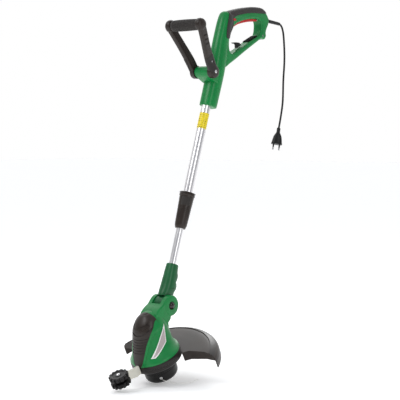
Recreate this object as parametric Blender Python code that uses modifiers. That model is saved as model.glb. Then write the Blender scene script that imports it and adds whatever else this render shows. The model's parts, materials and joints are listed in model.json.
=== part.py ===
"""A corded electric string trimmer, modelled at rest in metres with +Z up.

The origin is the middle of the rear grip.  The cutting head points to -Y, the user stands at +Y, and the
tool's left side is +X.  Three frames are used: the world frame for the rear handle, the shaft frame (Z runs
up the tubes, origin at the head's tilt pivot) and the head frame (Z is the spool axis, same origin).
"""

import math

import bmesh
import bpy
from mathutils import Matrix, Vector

MM = 0.001
GAP = 0.3 * MM                     # clearance kept between pieces that touch

# ---- driving dimensions -------------------------------------------------------------------------------
PIVOT = Vector((0, -382.7, -855.3)) * MM      # tilt pivot of the head, in the world
SHAFT_LEAN = math.radians(18.4)               # the tubes lean back towards the user
HEAD_LEAN = math.radians(26.6)                # the spool axis leans forward
UPPER_TUBE_R, LOWER_TUBE_R, TUBE_WALL = 14 * MM, 11 * MM, 1.2 * MM
SHELL_WALL = 2.8 * MM                         # wall of the moulded handle
GRIP_HALF = 17 * MM                           # half the width of the hand grip
SPOOL_Y = -95 * MM                            # spool axis, ahead of the pivot in the head frame
SPOOL_R = 49 * MM
GUARD_X = -12 * MM                            # the guard reaches further to the right
TONGUE_R = 27 * MM
WHEEL_Y, WHEEL_Z, WHEEL_R = -250 * MM, -88 * MM, 28.5 * MM
CORD_R = 3.1 * MM
LINE_R = 0.8 * MM
AUX_PIVOT = Vector((0, -40, 699)) * MM        # in the shaft frame
AUX_BAR = Vector((0, -163, 797)) * MM
AUX_HALF = 60 * MM                            # crossbar knuckles either side of the middle
TUBE_BOTTOM, TUBE_TOP = 300 * MM, 660 * MM    # upper tube, along the shaft
INNER_BOTTOM, INNER_TOP = 72 * MM, 560 * MM   # lower tube, along the shaft

for old in list(bpy.data.objects):
    bpy.data.objects.remove(old)
PARTS = bpy.data.collections.new("string_trimmer")
CUTTERS = bpy.data.collections.new("cutters")
bpy.context.scene.collection.children.link(PARTS)
bpy.context.scene.collection.children.link(CUTTERS)

GREEN = ("moulded green plastic", (0.032, 0.24, 0.085), 0.35, 0.0)
DARK_GREEN = ("darker green plastic", (0.03, 0.13, 0.055), 0.45, 0.0)
CHARCOAL = ("charcoal plastic", (0.05, 0.045, 0.04), 0.5, 0.0)
BLACK = ("black plastic", (0.015, 0.014, 0.013), 0.5, 0.0)
RUBBER = ("soft grip rubber", (0.03, 0.027, 0.025), 0.75, 0.0)
RED = ("red plastic", (0.5, 0.03, 0.025), 0.4, 0.0)
CREAM = ("cream plastic", (0.6, 0.58, 0.5), 0.45, 0.0)
SILVER = ("silver grey trim", (0.55, 0.5, 0.5), 0.35, 0.0)
YELLOW = ("yellow label film", (0.85, 0.7, 0.06), 0.4, 0.0)
ALUMINIUM = ("polished aluminium", (0.8, 0.8, 0.8), 0.25, 1.0)
STEEL = ("zinc plated steel", (0.6, 0.6, 0.6), 0.35, 1.0)
COPPER = ("copper windings", (0.6, 0.25, 0.12), 0.4, 1.0)
NYLON = ("clear nylon", (0.8, 0.8, 0.78), 0.3, 0.0)


# ---- helpers ------------------------------------------------------------------------------------------
def material(finish):
    name, colour, roughness, metallic = finish
    found = bpy.data.materials.get(name)
    if found:
        return found
    made = bpy.data.materials.new(name)
    made.use_nodes = True
    shader = made.node_tree.nodes["Principled BSDF"]
    shader.inputs["Base Color"].default_value = (*colour, 1)
    shader.inputs["Roughness"].default_value = roughness
    shader.inputs["Metallic"].default_value = metallic
    made.diffuse_color = (*colour, 1)
    return made


def empty(name, parent=None, location=(0, 0, 0), rotation=(0, 0, 0)):
    made = bpy.data.objects.new(name, None)
    PARTS.objects.link(made)
    made.empty_display_size = 0.02
    made.parent = parent
    made.location, made.rotation_euler = location, rotation
    return made


def add(name, mesh, finish, frame=None, turn=None):
    """Adds a finished piece; geometry stays where it is in its frame's coordinates."""
    made = bpy.data.objects.new(name, mesh)
    PARTS.objects.link(made)
    if turn is not None:
        mesh.transform(turn)
    made.parent = frame
    if frame is not None and "joint_at" in frame:
        made.location = -Vector(frame["joint_at"])
    if finish is not None:
        mesh.materials.clear()
        mesh.materials.append(material(finish))
        mesh.shade_smooth()
        mesh.set_sharp_from_angle(angle=math.radians(35))
    return made


def as_cutter(obj):
    PARTS.objects.unlink(obj)
    CUTTERS.objects.link(obj)
    obj.hide_render = True
    obj.display_type = "WIRE"
    return obj


def cutter(name, mesh, frame=None, turn=None):
    return as_cutter(add(name, mesh, None, frame, turn))


def joint_frame(name, frame, at):
    """An empty on a joint's axis.  Pieces hung on it keep their coordinates in the outer frame."""
    made = empty(name, frame, at)
    made["joint_at"] = list(at)
    return made


def boolean(obj, other, operation="DIFFERENCE"):
    modifier = obj.modifiers.new(operation.title(), "BOOLEAN")
    modifier.operation, modifier.object, modifier.solver = operation, other, "EXACT"
    return obj


def smooth_path(points, steps, closed=False):
    """Catmull-Rom curve through the points, with this many steps to each span."""
    points = [Vector(p) for p in points]
    count = len(points)
    spans = count if closed else count - 1
    made = []
    for i in range(spans):
        if closed:
            a, b, c, d = (points[(i + k) % count] for k in (-1, 0, 1, 2))
        else:
            b, c = points[i], points[i + 1]
            a = points[i - 1] if i else b + (b - c)
            d = points[i + 2] if i + 2 < count else c + (c - b)
        for k in range(steps):
            t = k / steps
            made.append(0.5 * ((2 * b) + (c - a) * t + (2 * a - 5 * b + 4 * c - d) * t * t
                               + (3 * b - a - 3 * c + d) * t ** 3))
    return made if closed else made + [points[-1]]


def loft(rings):
    """A closed mesh through rings of equal point counts, with flat ends."""
    work = bmesh.new()
    rows = [[work.verts.new(p) for p in ring] for ring in rings]
    count = len(rings[0])
    for low, high in zip(rows, rows[1:]):
        for i in range(count):
            work.faces.new((low[i], low[(i + 1) % count], high[(i + 1) % count], high[i]))
    work.faces.new(rows[0])
    work.faces.new(rows[-1])
    bmesh.ops.recalc_face_normals(work, faces=work.faces)
    mesh = bpy.data.meshes.new("loft")
    work.to_mesh(mesh)
    work.free()
    return mesh


def oval_ring(z, half_x, y_front, y_rear, power=2.3, count=24, grow=0.0, x_mid=0.0):
    """A superellipse across Z, from y_front to y_rear; all sizes in millimetres."""
    half_y, mid = (y_rear - y_front) / 2 + grow, (y_rear + y_front) / 2
    ring = []
    for i in range(count):
        a = 2 * math.pi * (i + 0.5) / count
        c, s = math.cos(a), math.sin(a)
        x = math.copysign(abs(c) ** (2 / power), c) * (half_x + grow) + x_mid
        y = math.copysign(abs(s) ** (2 / power), s) * half_y + mid
        ring.append(Vector((x, y, z)) * MM)
    return ring


def mesh_of_curve(curve_object):
    """The curve's evaluated mesh with its caps welded on; the curve is removed."""
    bpy.context.view_layer.update()
    graph = bpy.context.evaluated_depsgraph_get()
    mesh = bpy.data.meshes.new_from_object(curve_object.evaluated_get(graph))
    work = bmesh.new()
    work.from_mesh(mesh)
    bmesh.ops.remove_doubles(work, verts=work.verts, dist=0.00001)
    bmesh.ops.recalc_face_normals(work, faces=work.faces)
    work.to_mesh(mesh)
    work.free()
    curve = curve_object.data
    bpy.data.objects.remove(curve_object)
    bpy.data.curves.remove(curve)
    return mesh


SIDE_ON = Matrix(((0, 0, 1, 0), (1, 0, 0, 0), (0, 1, 0, 0), (0, 0, 0, 1)))   # outline x, y -> world Y, Z


def slab(outlines, half, rounding=0.0, inset=0.0, segments=2, turn=SIDE_ON):
    """A flat outline in millimetres, with any holes, extruded both ways to half its width."""
    curve = bpy.data.curves.new("outline", "CURVE")
    curve.dimensions, curve.fill_mode = "2D", "BOTH"
    for outline in outlines:
        spline = curve.splines.new("POLY")
        spline.points.add(len(outline) - 1)
        for point, (x, y) in zip(spline.points, outline):
            point.co = (x * MM, y * MM, 0, 1)
        spline.use_cyclic_u = True
    curve.extrude = half - rounding
    curve.bevel_depth, curve.bevel_resolution = rounding, segments - 1
    curve.offset = -rounding - inset
    holder = bpy.data.objects.new("outline", curve)
    PARTS.objects.link(holder)
    mesh = mesh_of_curve(holder)
    mesh.transform(turn)
    return mesh


def tube_mesh(points, radius, resolution=2, closed=False):
    curve = bpy.data.curves.new("run", "CURVE")
    curve.dimensions = "3D"
    spline = curve.splines.new("POLY")
    spline.points.add(len(points) - 1)
    for point, place in zip(spline.points, points):
        point.co = (*place, 1)
    spline.use_cyclic_u = closed
    curve.bevel_depth, curve.bevel_resolution, curve.use_fill_caps = radius, resolution, not closed
    holder = bpy.data.objects.new("run", curve)
    PARTS.objects.link(holder)
    return mesh_of_curve(holder)


def turned(name, profile, finish, frame=None, at=(0, 0, 0), axis="Z", steps=24, ring=False):
    """A turned piece.  The profile is (radius, height) in millimetres, down its outer side."""
    mesh = bpy.data.meshes.new(name)
    count = len(profile)
    edges = [(i, i + 1) for i in range(count - 1)] + ([(count - 1, 0)] if ring else [])
    mesh.from_pydata([(r * MM, 0, z * MM) for r, z in profile], edges, [])
    made = bpy.data.objects.new(name, mesh)
    PARTS.objects.link(made)
    made.parent = frame
    place = Vector(at)
    if frame is not None and "joint_at" in frame:
        place = place - Vector(frame["joint_at"])
    made.location = place
    made.rotation_euler = {"Z": (0, 0, 0), "X": (0, math.pi / 2, 0), "-X": (0, -math.pi / 2, 0)}[axis]
    screw = made.modifiers.new("Turn", "SCREW")
    screw.steps = screw.render_steps = steps
    screw.use_merge_vertices, screw.merge_threshold = True, 0.00005
    if finish is None:
        return as_cutter(made)
    mesh.materials.append(material(finish))
    return made


def pipe_profile(outer, inner, top, bottom):
    return [(inner, top), (outer, top), (outer, bottom), (inner, bottom)]


def pin(name, radius, length, finish, frame, at, axis="Z", steps=16):
    half = length / 2
    return turned(name, [(0, half), (radius, half), (radius, -half), (0, -half)], finish, frame, at, axis,
                  steps)


def block(low, high):
    """A box mesh from its lowest to its highest corner, in millimetres."""
    work = bmesh.new()
    bmesh.ops.create_cube(work, size=1)
    low, high = Vector(low) * MM, Vector(high) * MM
    for vert in work.verts:
        vert.co = Vector([low[i] + (vert.co[i] + 0.5) * (high[i] - low[i]) for i in range(3)])
    mesh = bpy.data.meshes.new("block")
    work.to_mesh(mesh)
    work.free()
    return mesh


def eased(obj, width, segments=2):
    """Rounds the long edges of a blocky piece."""
    bevel = obj.modifiers.new("Ease", "BEVEL")
    bevel.width, bevel.segments, bevel.limit_method = width, segments, "ANGLE"
    return obj


# ---- frames -------------------------------------------------------------------------------------------
SHAFT = empty("shaft_frame", None, PIVOT, (-SHAFT_LEAN, 0, 0))
HEAD = empty("head_frame", None, PIVOT, (HEAD_LEAN, 0, 0))
TURN_AXIS = joint_frame("edging_axis", SHAFT, (0, 0, 300 * MM))
HEAD_AXIS = joint_frame("tilt_axis", HEAD, (0, 0, 0))
SPOOL_AXIS = joint_frame("spool_axis", HEAD_AXIS, (0, SPOOL_Y, -160 * MM))
WHEEL_AXIS = joint_frame("wheel_axis", HEAD_AXIS, (0, WHEEL_Y, WHEEL_Z))
TAP_AXIS = joint_frame("tap_axis", HEAD_AXIS, (0, SPOOL_Y, -187 * MM))


# ---- rear handle --------------------------------------------------------------------------------------
LOOP_OUTER = [(-110, -22), (-92, 3), (-48, 16), (7, 25.5), (52, 27), (72, 22), (88, 9), (96, -4), (95, -20),
              (86, -36), (82, -47), (83, -58), (75, -68), (60, -67), (30, -82), (-20, -109), (-66, -135),
              (-96, -151), (-124, -165), (-142, -150), (-128, -90)]
LOOP_OPENING = [(-85, -46), (-70, -32), (-45, -21), (-15, -13), (15, -9), (42, -8), (54, -15), (57, -28),
                (53, -50), (42, -60), (5, -77), (-40, -100), (-68, -113), (-84, -119), (-96, -114),
                (-101, -96), (-97, -68)]
# Sections of the column and tube sleeve: height up the shaft, half width, front and rear.
COLUMN = [(606, 21, -15, 27), (613, 24.5, -17, 33), (660, 25, -17, 34), (712, 25, -18, 35),
          (760, 23, -20, 34),
          (806, 21.5, -22, 28), (846, 21, -22, 26), (876, 20, -21, 25), (893, 19, -18, 23),
          (905, 13, -10, 18)]
LOOP_ROUND = 6                     # rounding of the loop's edges
BOSS_HALF, BOSS_R = 25.9, 17       # the green boss between the front handle's arms


def side_outline(points, steps=2):
    """A rounded closed outline, in millimetres, for slab()."""
    path = smooth_path([(x, y, 0) for x, y in points], steps, closed=True)
    return [(p.x, p.y) for p in path]


def handle_solid(name, grow=0.0, steps=2):
    """The outside of the handle moulding, grown or shrunk evenly, as a cutter."""
    body = cutter(name, slab([side_outline(LOOP_OUTER, steps), side_outline(LOOP_OPENING, steps)],
                             GRIP_HALF + grow * MM, (LOOP_ROUND + grow) * MM, -grow * MM, 1))
    rings = [oval_ring(z, a, f, r, 2.4, 16, grow) for z, a, f, r in COLUMN]
    rings[0] = [p - Vector((0, 0, grow * MM)) for p in rings[0]]
    rings[-1] = [p + Vector((0, 0, grow * MM)) for p in rings[-1]]
    boolean(body, cutter(name + "_column", loft(rings), SHAFT), "UNION")
    half, radius = BOSS_HALF + min(grow, 0), BOSS_R + grow
    y, z = AUX_PIVOT.y / MM, AUX_PIVOT.z / MM
    outline = [(y + radius * math.cos(a), z + radius * math.sin(a))
               for a in (math.radians(d) for d in range(100, 261, 32))]
    outline += [(0, z - radius - 6), (0, z + radius + 4)]
    boolean(body, cutter(name + "_boss", slab([outline], half * MM, 3 * MM), SHAFT), "UNION")
    return baked(body)


def baked(obj):
    """Replaces a cutter's modifiers with their result, in the world frame."""
    bpy.context.view_layer.update()
    graph = bpy.context.evaluated_depsgraph_get()
    mesh = bpy.data.meshes.new_from_object(obj.evaluated_get(graph))
    mesh.transform(obj.matrix_world)
    obj.modifiers.clear()
    obj.parent, obj.matrix_world, obj.data = None, Matrix.Identity(4), mesh
    return obj


def half_space(name, side, frame=None, reach=260):
    low, high = (GAP / 2 / MM, reach) if side > 0 else (-reach, -GAP / 2 / MM)
    return cutter(name, block((low, -600, -1200), (high, 600, 600)), frame)


HANDLE_OUTSIDE = handle_solid("handle_outside")
HANDLE_INSIDE = handle_solid("handle_inside", -SHELL_WALL / MM, 1)
LEFT, RIGHT = half_space("left_half", 1), half_space("right_half", -1)

# Handle screws: side and place in the side view; the corner one is driven from the left.
HANDLE_SCREWS = [("corner", 1, 66, -57), ("rear", -1, 78, -8)]
CORD_EXIT = Vector((0, 96, -6.6)) * MM
CORD_DROP = math.radians(5)                   # the gland points back and slightly down
CORD_FRAME = empty("cord_exit", None, CORD_EXIT, (math.pi / 2 + CORD_DROP + math.pi, 0, 0))
TRIGGER_AXIS = Vector((0, 41, -9.6)) * MM


def screw_profile(clear=0.0, length=11.0):
    """Pan head and shank, in millimetres, from the head's face down."""
    return [(0, clear), (3.4 + clear, clear), (3.4 + clear, -2.2 - clear), (1.6 + clear, -2.2 - clear),
            (1.6 + clear, -length - clear), (0, -length - clear)]


def screw(name, frame, at, axis, holders, length=11.0):
    """A pan-head screw, and its counterbored hole in each holder."""
    made = turned(name, screw_profile(0, length), STEEL, frame, at, axis, 10)
    hole = turned(name + "_hole", screw_profile(0.3, length), None, frame, at, axis, 10)
    for holder in holders:
        boolean(holder, hole)
    return made


def trigger_outline():
    lower = smooth_path([(-77, -42, 0), (-52, -30.5, 0), (-26, -23.5, 0), (8, -17.5, 0), (44, -14, 0)], 3)
    upper = smooth_path([(46, -5, 0), (8, -6, 0), (-40, -14, 0), (-77, -28, 0)], 2)
    return [(p.x, p.y) for p in lower + upper]


def build_handle():
    tube_hole = turned("tube_hole", [(0, 664), (14.3, 664), (14.3, 590), (0, 590)], None, SHAFT)
    slot = cutter("trigger_slot", block((-8.6, -79, -48), (8.6, 48, -4)))
    button_hole = cutter("lock_off_hole", block((10, -85, -21.5), (24, -71, -13.5)))
    gland_hole = turned("gland_hole", [(0, 8), (6.3, 8), (6.3, -14), (0, -14)], None, CORD_FRAME)
    bolt_hole = turned("aux_bolt_hole", [(0, 60), (3.4, 60), (3.4, -60), (0, -60)], None, SHAFT, AUX_PIVOT,
                       "X", 14)
    shells = {}
    for side, name, half in ((1, "handle_shell_left", LEFT), (-1, "handle_shell_right", RIGHT)):
        shell = add(name, HANDLE_OUTSIDE.data.copy(), GREEN)
        for hole in (HANDLE_INSIDE, tube_hole, slot, gland_hole, bolt_hole):
            boolean(shell, hole)
        boolean(shell, half, "INTERSECT")
        shells[side] = shell
    boolean(shells[1], button_hole)
    for label, side, y, z in HANDLE_SCREWS:
        place = Vector((side * (GRIP_HALF / MM - 0.4), y, z)) * MM
        screw("handle_screw_" + label, None, place, "X" if side > 0 else "-X", [shells[side]])


def build_grip_rubber():
    """The soft skin over the top of the grip and down the back of the column."""
    thick = handle_solid("handle_thick", 1.7)
    thin = handle_solid("handle_thin", 0.3)
    region = [(-96, 14), (-48, 30), (10, 40), (60, 40), (90, 30), (80, 13), (60, 10.5), (7, 8.5), (-45, 0.5),
              (-78, -10), (-84, -30), (-92, -70), (-118, -76), (-121, -58), (-112, -24), (-104, -2)]
    grip = add("grip_rubber", thick.data.copy(), RUBBER)
    boolean(grip, thin)
    boolean(grip, bpy.data.objects["lock_off_hole"])
    boolean(grip, cutter("skin_region", slab([side_outline(region, 1)], 40 * MM)), "INTERSECT")


def build_trigger():
    axis = joint_frame("trigger_axis", None, TRIGGER_AXIS)
    trigger = add("trigger", slab([trigger_outline()], 8 * MM, 2 * MM), RED, axis)
    boolean(trigger, turned("trigger_bore", [(0, 20), (1.8, 20), (1.8, -20), (0, -20)], None, None,
                            TRIGGER_AXIS, "X", 12))
    pin("trigger_pin", 1.5, 27.5, STEEL, None, TRIGGER_AXIS, "X", 10)
    button = joint_frame("lock_off_axis", None, Vector((16, -78, -17.5)) * MM)
    eased(add("lock_off_button", block((11, -84.5, -21), (19.5, -71.5, -14)), RED, button), 1 * MM, 1)
    eased(add("switch_block", block((-7, -32, 0.5), (7, -6, 14)), BLACK), 0.8 * MM, 1)
    coil = [Vector((2.6 * math.cos(k * math.pi / 3), 2.6 * math.sin(k * math.pi / 3) - 58,
                    0.8 * k - 12)) * MM
            for k in range(19)]
    add("trigger_spring", tube_mesh(coil, 0.5 * MM, 1), STEEL)


# The mains lead hangs in the mirror plane: (Y, Z) in millimetres from the end of its strain relief.
CORD_ROUTE = [(171.3, -13.5), (176.2, -14.9), (181.2, -18.2), (185.9, -23.6), (189.9, -31), (193.1, -41),
              (195.5, -54), (197.4, -70), (199.3, -92), (200.1, -115), (199.5, -136), (197.8, -156),
              (195.6, -177), (194, -199), (193.3, -224), (192.4, -248), (190.6, -265), (187.6, -281),
              (183.6, -298), (178.9, -316), (174.8, -330), (170.9, -342.9)]
PLUG_TURN = math.radians(40)                  # its two pins stand side by side across the view


def build_cord():
    turned("cord_grommet", [(3.9, 16), (5.2, 16), (6, 14), (6, -5.4), (7.4, -5.4), (7.4, -8), (3.9, -8)],
           BLACK, CORD_FRAME, steps=16, ring=True)
    relief = smooth_path([(0, 112.8, -8.1), (0, 126, -9.3), (0, 142, -10.6), (0, 157, -11.9),
                          (0, 170.3, -13.3)], 3)
    rings = []
    for i, centre in enumerate(relief):
        along = (relief[min(i + 1, len(relief) - 1)] - relief[max(i - 1, 0)]).normalized()
        up = Vector((1, 0, 0)).cross(along)
        radius = 5.9 - 0.9 * i / (len(relief) - 1)
        rings.append([(centre + radius * (Vector((math.cos(a), 0, 0)) + up * math.sin(a))) * MM
                      for a in (2 * math.pi * k / 12 for k in range(12))])
    add("strain_relief", loft(rings), BLACK)
    route = [Vector((0, y, z)) * MM for y, z in CORD_ROUTE]
    add("power_cord", tube_mesh(smooth_path(route, 2), CORD_R, 1), BLACK)
    top, face = Vector((0, 170.8, -343.3)) * MM, Vector((0, 158.8, -395.6)) * MM
    down = (face - top).normalized()
    plug = empty("plug_frame", None, top)
    plug.rotation_euler = (Vector((0, 0, -1)).rotation_difference(down).to_matrix()
                           @ Matrix.Rotation(PLUG_TURN, 3, "Z")).to_euler()
    sections = [(0, 5.6, 5.6), (-14, 6, 6), (-19, 8.5, 8), (-27, 12.5, 9.5), (-38, 15, 10.5),
                (-47, 16.5, 11.5),
                (-50, 17.5, 12.5), (-53.6, 17.5, 12.5)]
    body = add("plug_body", loft([oval_ring(z, a, -b, b, 2.4, 20) for z, a, b in sections]), BLACK, plug)
    for side, name in ((-1, "plug_pin_left"), (1, "plug_pin_right")):
        at = Vector((side * 9.5, 0, -58)) * MM
        turned(name, [(0, 14), (2.4, 14), (2.4, -13.5), (1.6, -15), (0, -15)], STEEL, plug, at, steps=12)
        hole = turned(name + "_hole", [(0, 14.3), (2.7, 14.3), (2.7, -20), (0, -20)], None, plug, at,
                      steps=12)
        boolean(body, hole)


def build_cable_hook():
    """A T-shaped hook on the strut that takes the mains lead's loop."""
    outline = [(-66, -84.5), (-64, -88), (-52, -90), (-50, -101), (-40, -96), (-30, -91), (-34, -86.5),
               (-42, -83.5)]
    eased(add("cable_hook", slab([outline], 5 * MM), BLACK), 0.8 * MM, 1)


# ---- front handle -------------------------------------------------------------------------------------
ARM_HALF, KNUCKLE_R = 8.2, 18.5


def build_front_handle():
    axis = joint_frame("front_handle_axis", SHAFT, AUX_PIVOT)
    low, high = AUX_PIVOT / MM, AUX_BAR / MM
    along = (high - low).normalized()
    across = Vector((0, along.z, -along.y))
    for side, name in ((1, "left"), (-1, "right")):
        rings = []
        for t, x, depth in ((-0.02, 34.6, 15), (0.25, 37.5, 15.5), (0.5, 44, 14), (0.75, 52, 13.5),
                            (0.98, 59, 14)):
            centre = low + (high - low) * t
            ring = []
            for k in range(16):
                a = 2 * math.pi * (k + 0.5) / 16
                c, s = math.cos(a), math.sin(a)
                dx = math.copysign(abs(c) ** 0.5, c) * ARM_HALF
                dy = math.copysign(abs(s) ** 0.5, s) * depth
                ring.append((Vector((side * (x + dx), 0, 0)) + centre + across * dy) * MM)
            rings.append(ring)
        arm = add("front_arm_" + name, loft(rings), CHARCOAL, axis)
        face = "X" if side > 0 else "-X"
        foot = [(0, 16.9), (16, 16.9), (19.5, 14), (19.5, 0.4), (0, 0.4)]
        boolean(arm, turned("arm_foot_" + name, foot, None, SHAFT,
                            AUX_PIVOT + Vector((side * 26 * MM, 0, 0)),
                            face, 20), "UNION")
        knuckle = [(0, 9), (12, 8.4), (17, 5), (KNUCKLE_R, 0), (KNUCKLE_R, -8), (15.5, -11.6), (0, -11.6)]
        boolean(arm, turned("arm_knuckle_" + name, knuckle, None, SHAFT,
                            AUX_BAR + Vector((side * AUX_HALF, 0, 0)), face, 18), "UNION")
        boolean(arm, turned("arm_bore_" + name, [(0, 60), (3.4, 60), (3.4, -60), (0, -60)], None, SHAFT,
                            AUX_PIVOT, "X", 14))
        place = low + (high - low) * 0.22 + Vector((side * 45.6, 0, 0))
        screw("front_arm_screw_" + name, axis, place * MM, face, [arm], 9)
    half = AUX_HALF / MM - 12
    profile = [(0, half), (15.5, half), (16.5, half - 4), (17.2, 0), (16.5, 4 - half), (15.5, -half),
               (0, -half)]
    turned("front_grip", profile, RUBBER, axis, AUX_BAR, "X", 24)
    bolt = [(0, 46), (4.2, 45.4), (5.2, 43.6), (5.2, 43.3), (3, 43.3), (3, -43.3), (5.2, -43.3), (5.2, -46),
            (0, -46)]
    turned("front_handle_bolt", bolt, STEEL, SHAFT, AUX_PIVOT, "X", 14)


# ---- tubes and clamp ----------------------------------------------------------------------------------
def build_tubes():
    wall, top, bottom = TUBE_WALL / MM, TUBE_TOP / MM, TUBE_BOTTOM / MM
    outer, inner = UPPER_TUBE_R / MM, LOWER_TUBE_R / MM
    turned("upper_tube", pipe_profile(outer, outer - wall, top, bottom), ALUMINIUM, SHAFT, steps=24,
           ring=True)
    label = [(math.radians(d), r) for r in (14.3, 14.8) for d in range(-125, 26, 10)]
    band = [Vector((r * math.cos(a), r * math.sin(a), 0)) for a, r in label]
    ring = band[:16] + band[:15:-1]
    add("tube_label", loft([[(p + Vector((0, 0, z))) * MM for p in ring] for z in (534, 582)]), YELLOW,
        SHAFT)
    collar = [(14.3, 336), (23.8, 336), (24, 334.6), (21.5, 332.5), (23.2, 330), (23.2, 327), (21.6, 325),
              (20, 288), (14.3, 288)]
    turned("clamp_collar", collar, CHARCOAL, SHAFT, steps=24, ring=True)
    turned("clamp_collet", [(11.4, 299.6), (14, 299.6), (14, 287.5), (15.4, 286), (15.4, 250), (14, 236),
                            (11.4, 236)], BLACK, SHAFT, steps=16, ring=True)
    nut_axis = joint_frame("clamp_nut_axis", SHAFT, (0, 0, 258 * MM))
    nut = [(15.8, 287.7), (20, 287.7), (18.2, 240), (15, 229), (11.5, 228), (11.5, 235.6), (14.4, 235.6),
           (15.8, 250)]
    turned("clamp_nut", nut, CHARCOAL, nut_axis, (0, 0, 0), steps=24, ring=True)
    slide = joint_frame("telescope_axis", SHAFT, (0, 0, 500 * MM))
    turned("guide_bush", pipe_profile(12.5, 11.3, 545, 520), NYLON, slide, steps=24, ring=True)
    turned("lower_tube", pipe_profile(inner, inner - wall, INNER_TOP / MM, INNER_BOTTOM / MM), ALUMINIUM,
           TURN_AXIS, steps=24, ring=True)


# ---- lower socket -------------------------------------------------------------------------------------
# Height up the shaft, half width, front and rear; two finger bumps on the rear.
SOCKET = [(121, 15.5, -15.5, 16), (118, 16.5, -16.5, 18), (100, 18, -18, 20), (94, 18.5, -18.5, 23),
          (88, 18.8, -18.8, 25), (79, 19.2, -19.2, 24), (71, 19.6, -19.6, 21.5), (66, 20, -20, 24.5),
          (59, 20.4, -20.5, 27), (50, 20.6, -21.5, 26), (42, 20, -22.5, 22), (30, 18.5, -24.5, 22),
          (24, 17, -25, 21)]


def build_socket():
    for side, name, half in ((1, "socket_left", LEFT), (-1, "socket_right", RIGHT)):
        rings = [oval_ring(z, a, f, r, 2.4, 16) for z, a, f, r in SOCKET]
        shell = add(name, loft(rings), DARK_GREEN, TURN_AXIS)
        clear = turned("ear_clear_" + name, [(0, 30), (30.5, 30), (30.5, 16), (0, 16)] if side > 0 else
                       [(0, -16), (30.5, -16), (30.5, -30), (0, -30)], None, SHAFT, (0, 0, 0), "X", 24)
        boolean(shell, clear)
        tongue = turned("tongue_" + name, [(0, 16), (TONGUE_R / MM, 16), (TONGUE_R / MM, -16), (0, -16)],
                        None, SHAFT,
                        (0, 0, 0), "X", 24)
        boolean(shell, tongue, "UNION")
        boolean(shell, turned("socket_tube_" + name, [(0, 130), (11.3, 130), (11.3, 71.7), (0, 71.7)], None,
                              SHAFT))
        boolean(shell, turned("socket_wire_" + name, [(0, 72), (6, 72), (6, 34), (0, 34)], None, SHAFT,
                              steps=16))
        boolean(shell, turned("socket_bore_" + name, [(0, 40), (5.3, 40), (5.3, -40), (0, -40)], None, SHAFT,
                              (0, 0, 0), "X", 18))
        boolean(shell, half, "INTERSECT")
        if side < 0:
            screw("socket_screw", TURN_AXIS, Vector((-19.2, 2, 100)) * MM, "-X", [shell], 7.4)


# ---- head ---------------------------------------------------------------------------------------------
# Height up the spool axis, half width, front and rear of the motor housing.
HOUSING = [(21, 6, -84, -66), (17, 18, -97, -60), (10, 27, -108, -52), (1, 33, -119, -42),
           (-12, 38.5, -131, -33), (-38, 43, -142, -27), (-62, 46, -154, -26), (-80, 51, -162, -29),
           (-90, 61, -167, -26), (-97, 70, -169, -21), (-103, 73, -169, -21)]
SHIELD = [(20, 34), (33, 4), (37, -10), (34.5, -22), (31, -34), (27, -46), (24, -60), (21, -74), (14, -96),
          (0, -108)]
INSERT = [(-60, -22), (-71, -44), (-82, -67), (-112, -77), (-140, -86), (-149, -83), (-120, -63), (-92, -42)]
NECK = [(-4, 27), (-30, 22), (-55, 19), (-75, 6), (-75, -45), (-38, -50), (-32, -38), (-14, -27)]
FACE_ON = Matrix(((1, 0, 0, 0), (0, 0, -1, 0), (0, 1, 0, 0), (0, 0, 0, 1)))   # outline x, y -> X, Z


def housing_solid(name, grow=0.0, open_below=False):
    """The outside of the motor housing, grown or shrunk evenly, as a cutter: round at its foot."""
    rings = [oval_ring(z, a, f, r, 2.0 if z < -92 else 2.3, 24, grow) for z, a, f, r in HOUSING]
    rings[0] = [p + Vector((0, 0, grow * MM)) for p in rings[0]]
    if open_below:
        rings[-1] = [p - Vector((0, 0, 2 * MM)) for p in rings[-1]]
    return cutter(name, loft(rings), HEAD)


def shield_prism(name, grow=0.0):
    """The front cover's outline, run through the front of the housing, as a cutter."""
    outline = SHIELD + [(-x, z) for x, z in reversed(SHIELD[:-1])]
    mesh = slab([outline], 60 * MM, 0, -grow * MM, 2, FACE_ON)
    mesh.transform(Matrix.Translation((0, (-122 + grow) * MM, 0)))
    return cutter(name, mesh, HEAD)


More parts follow.
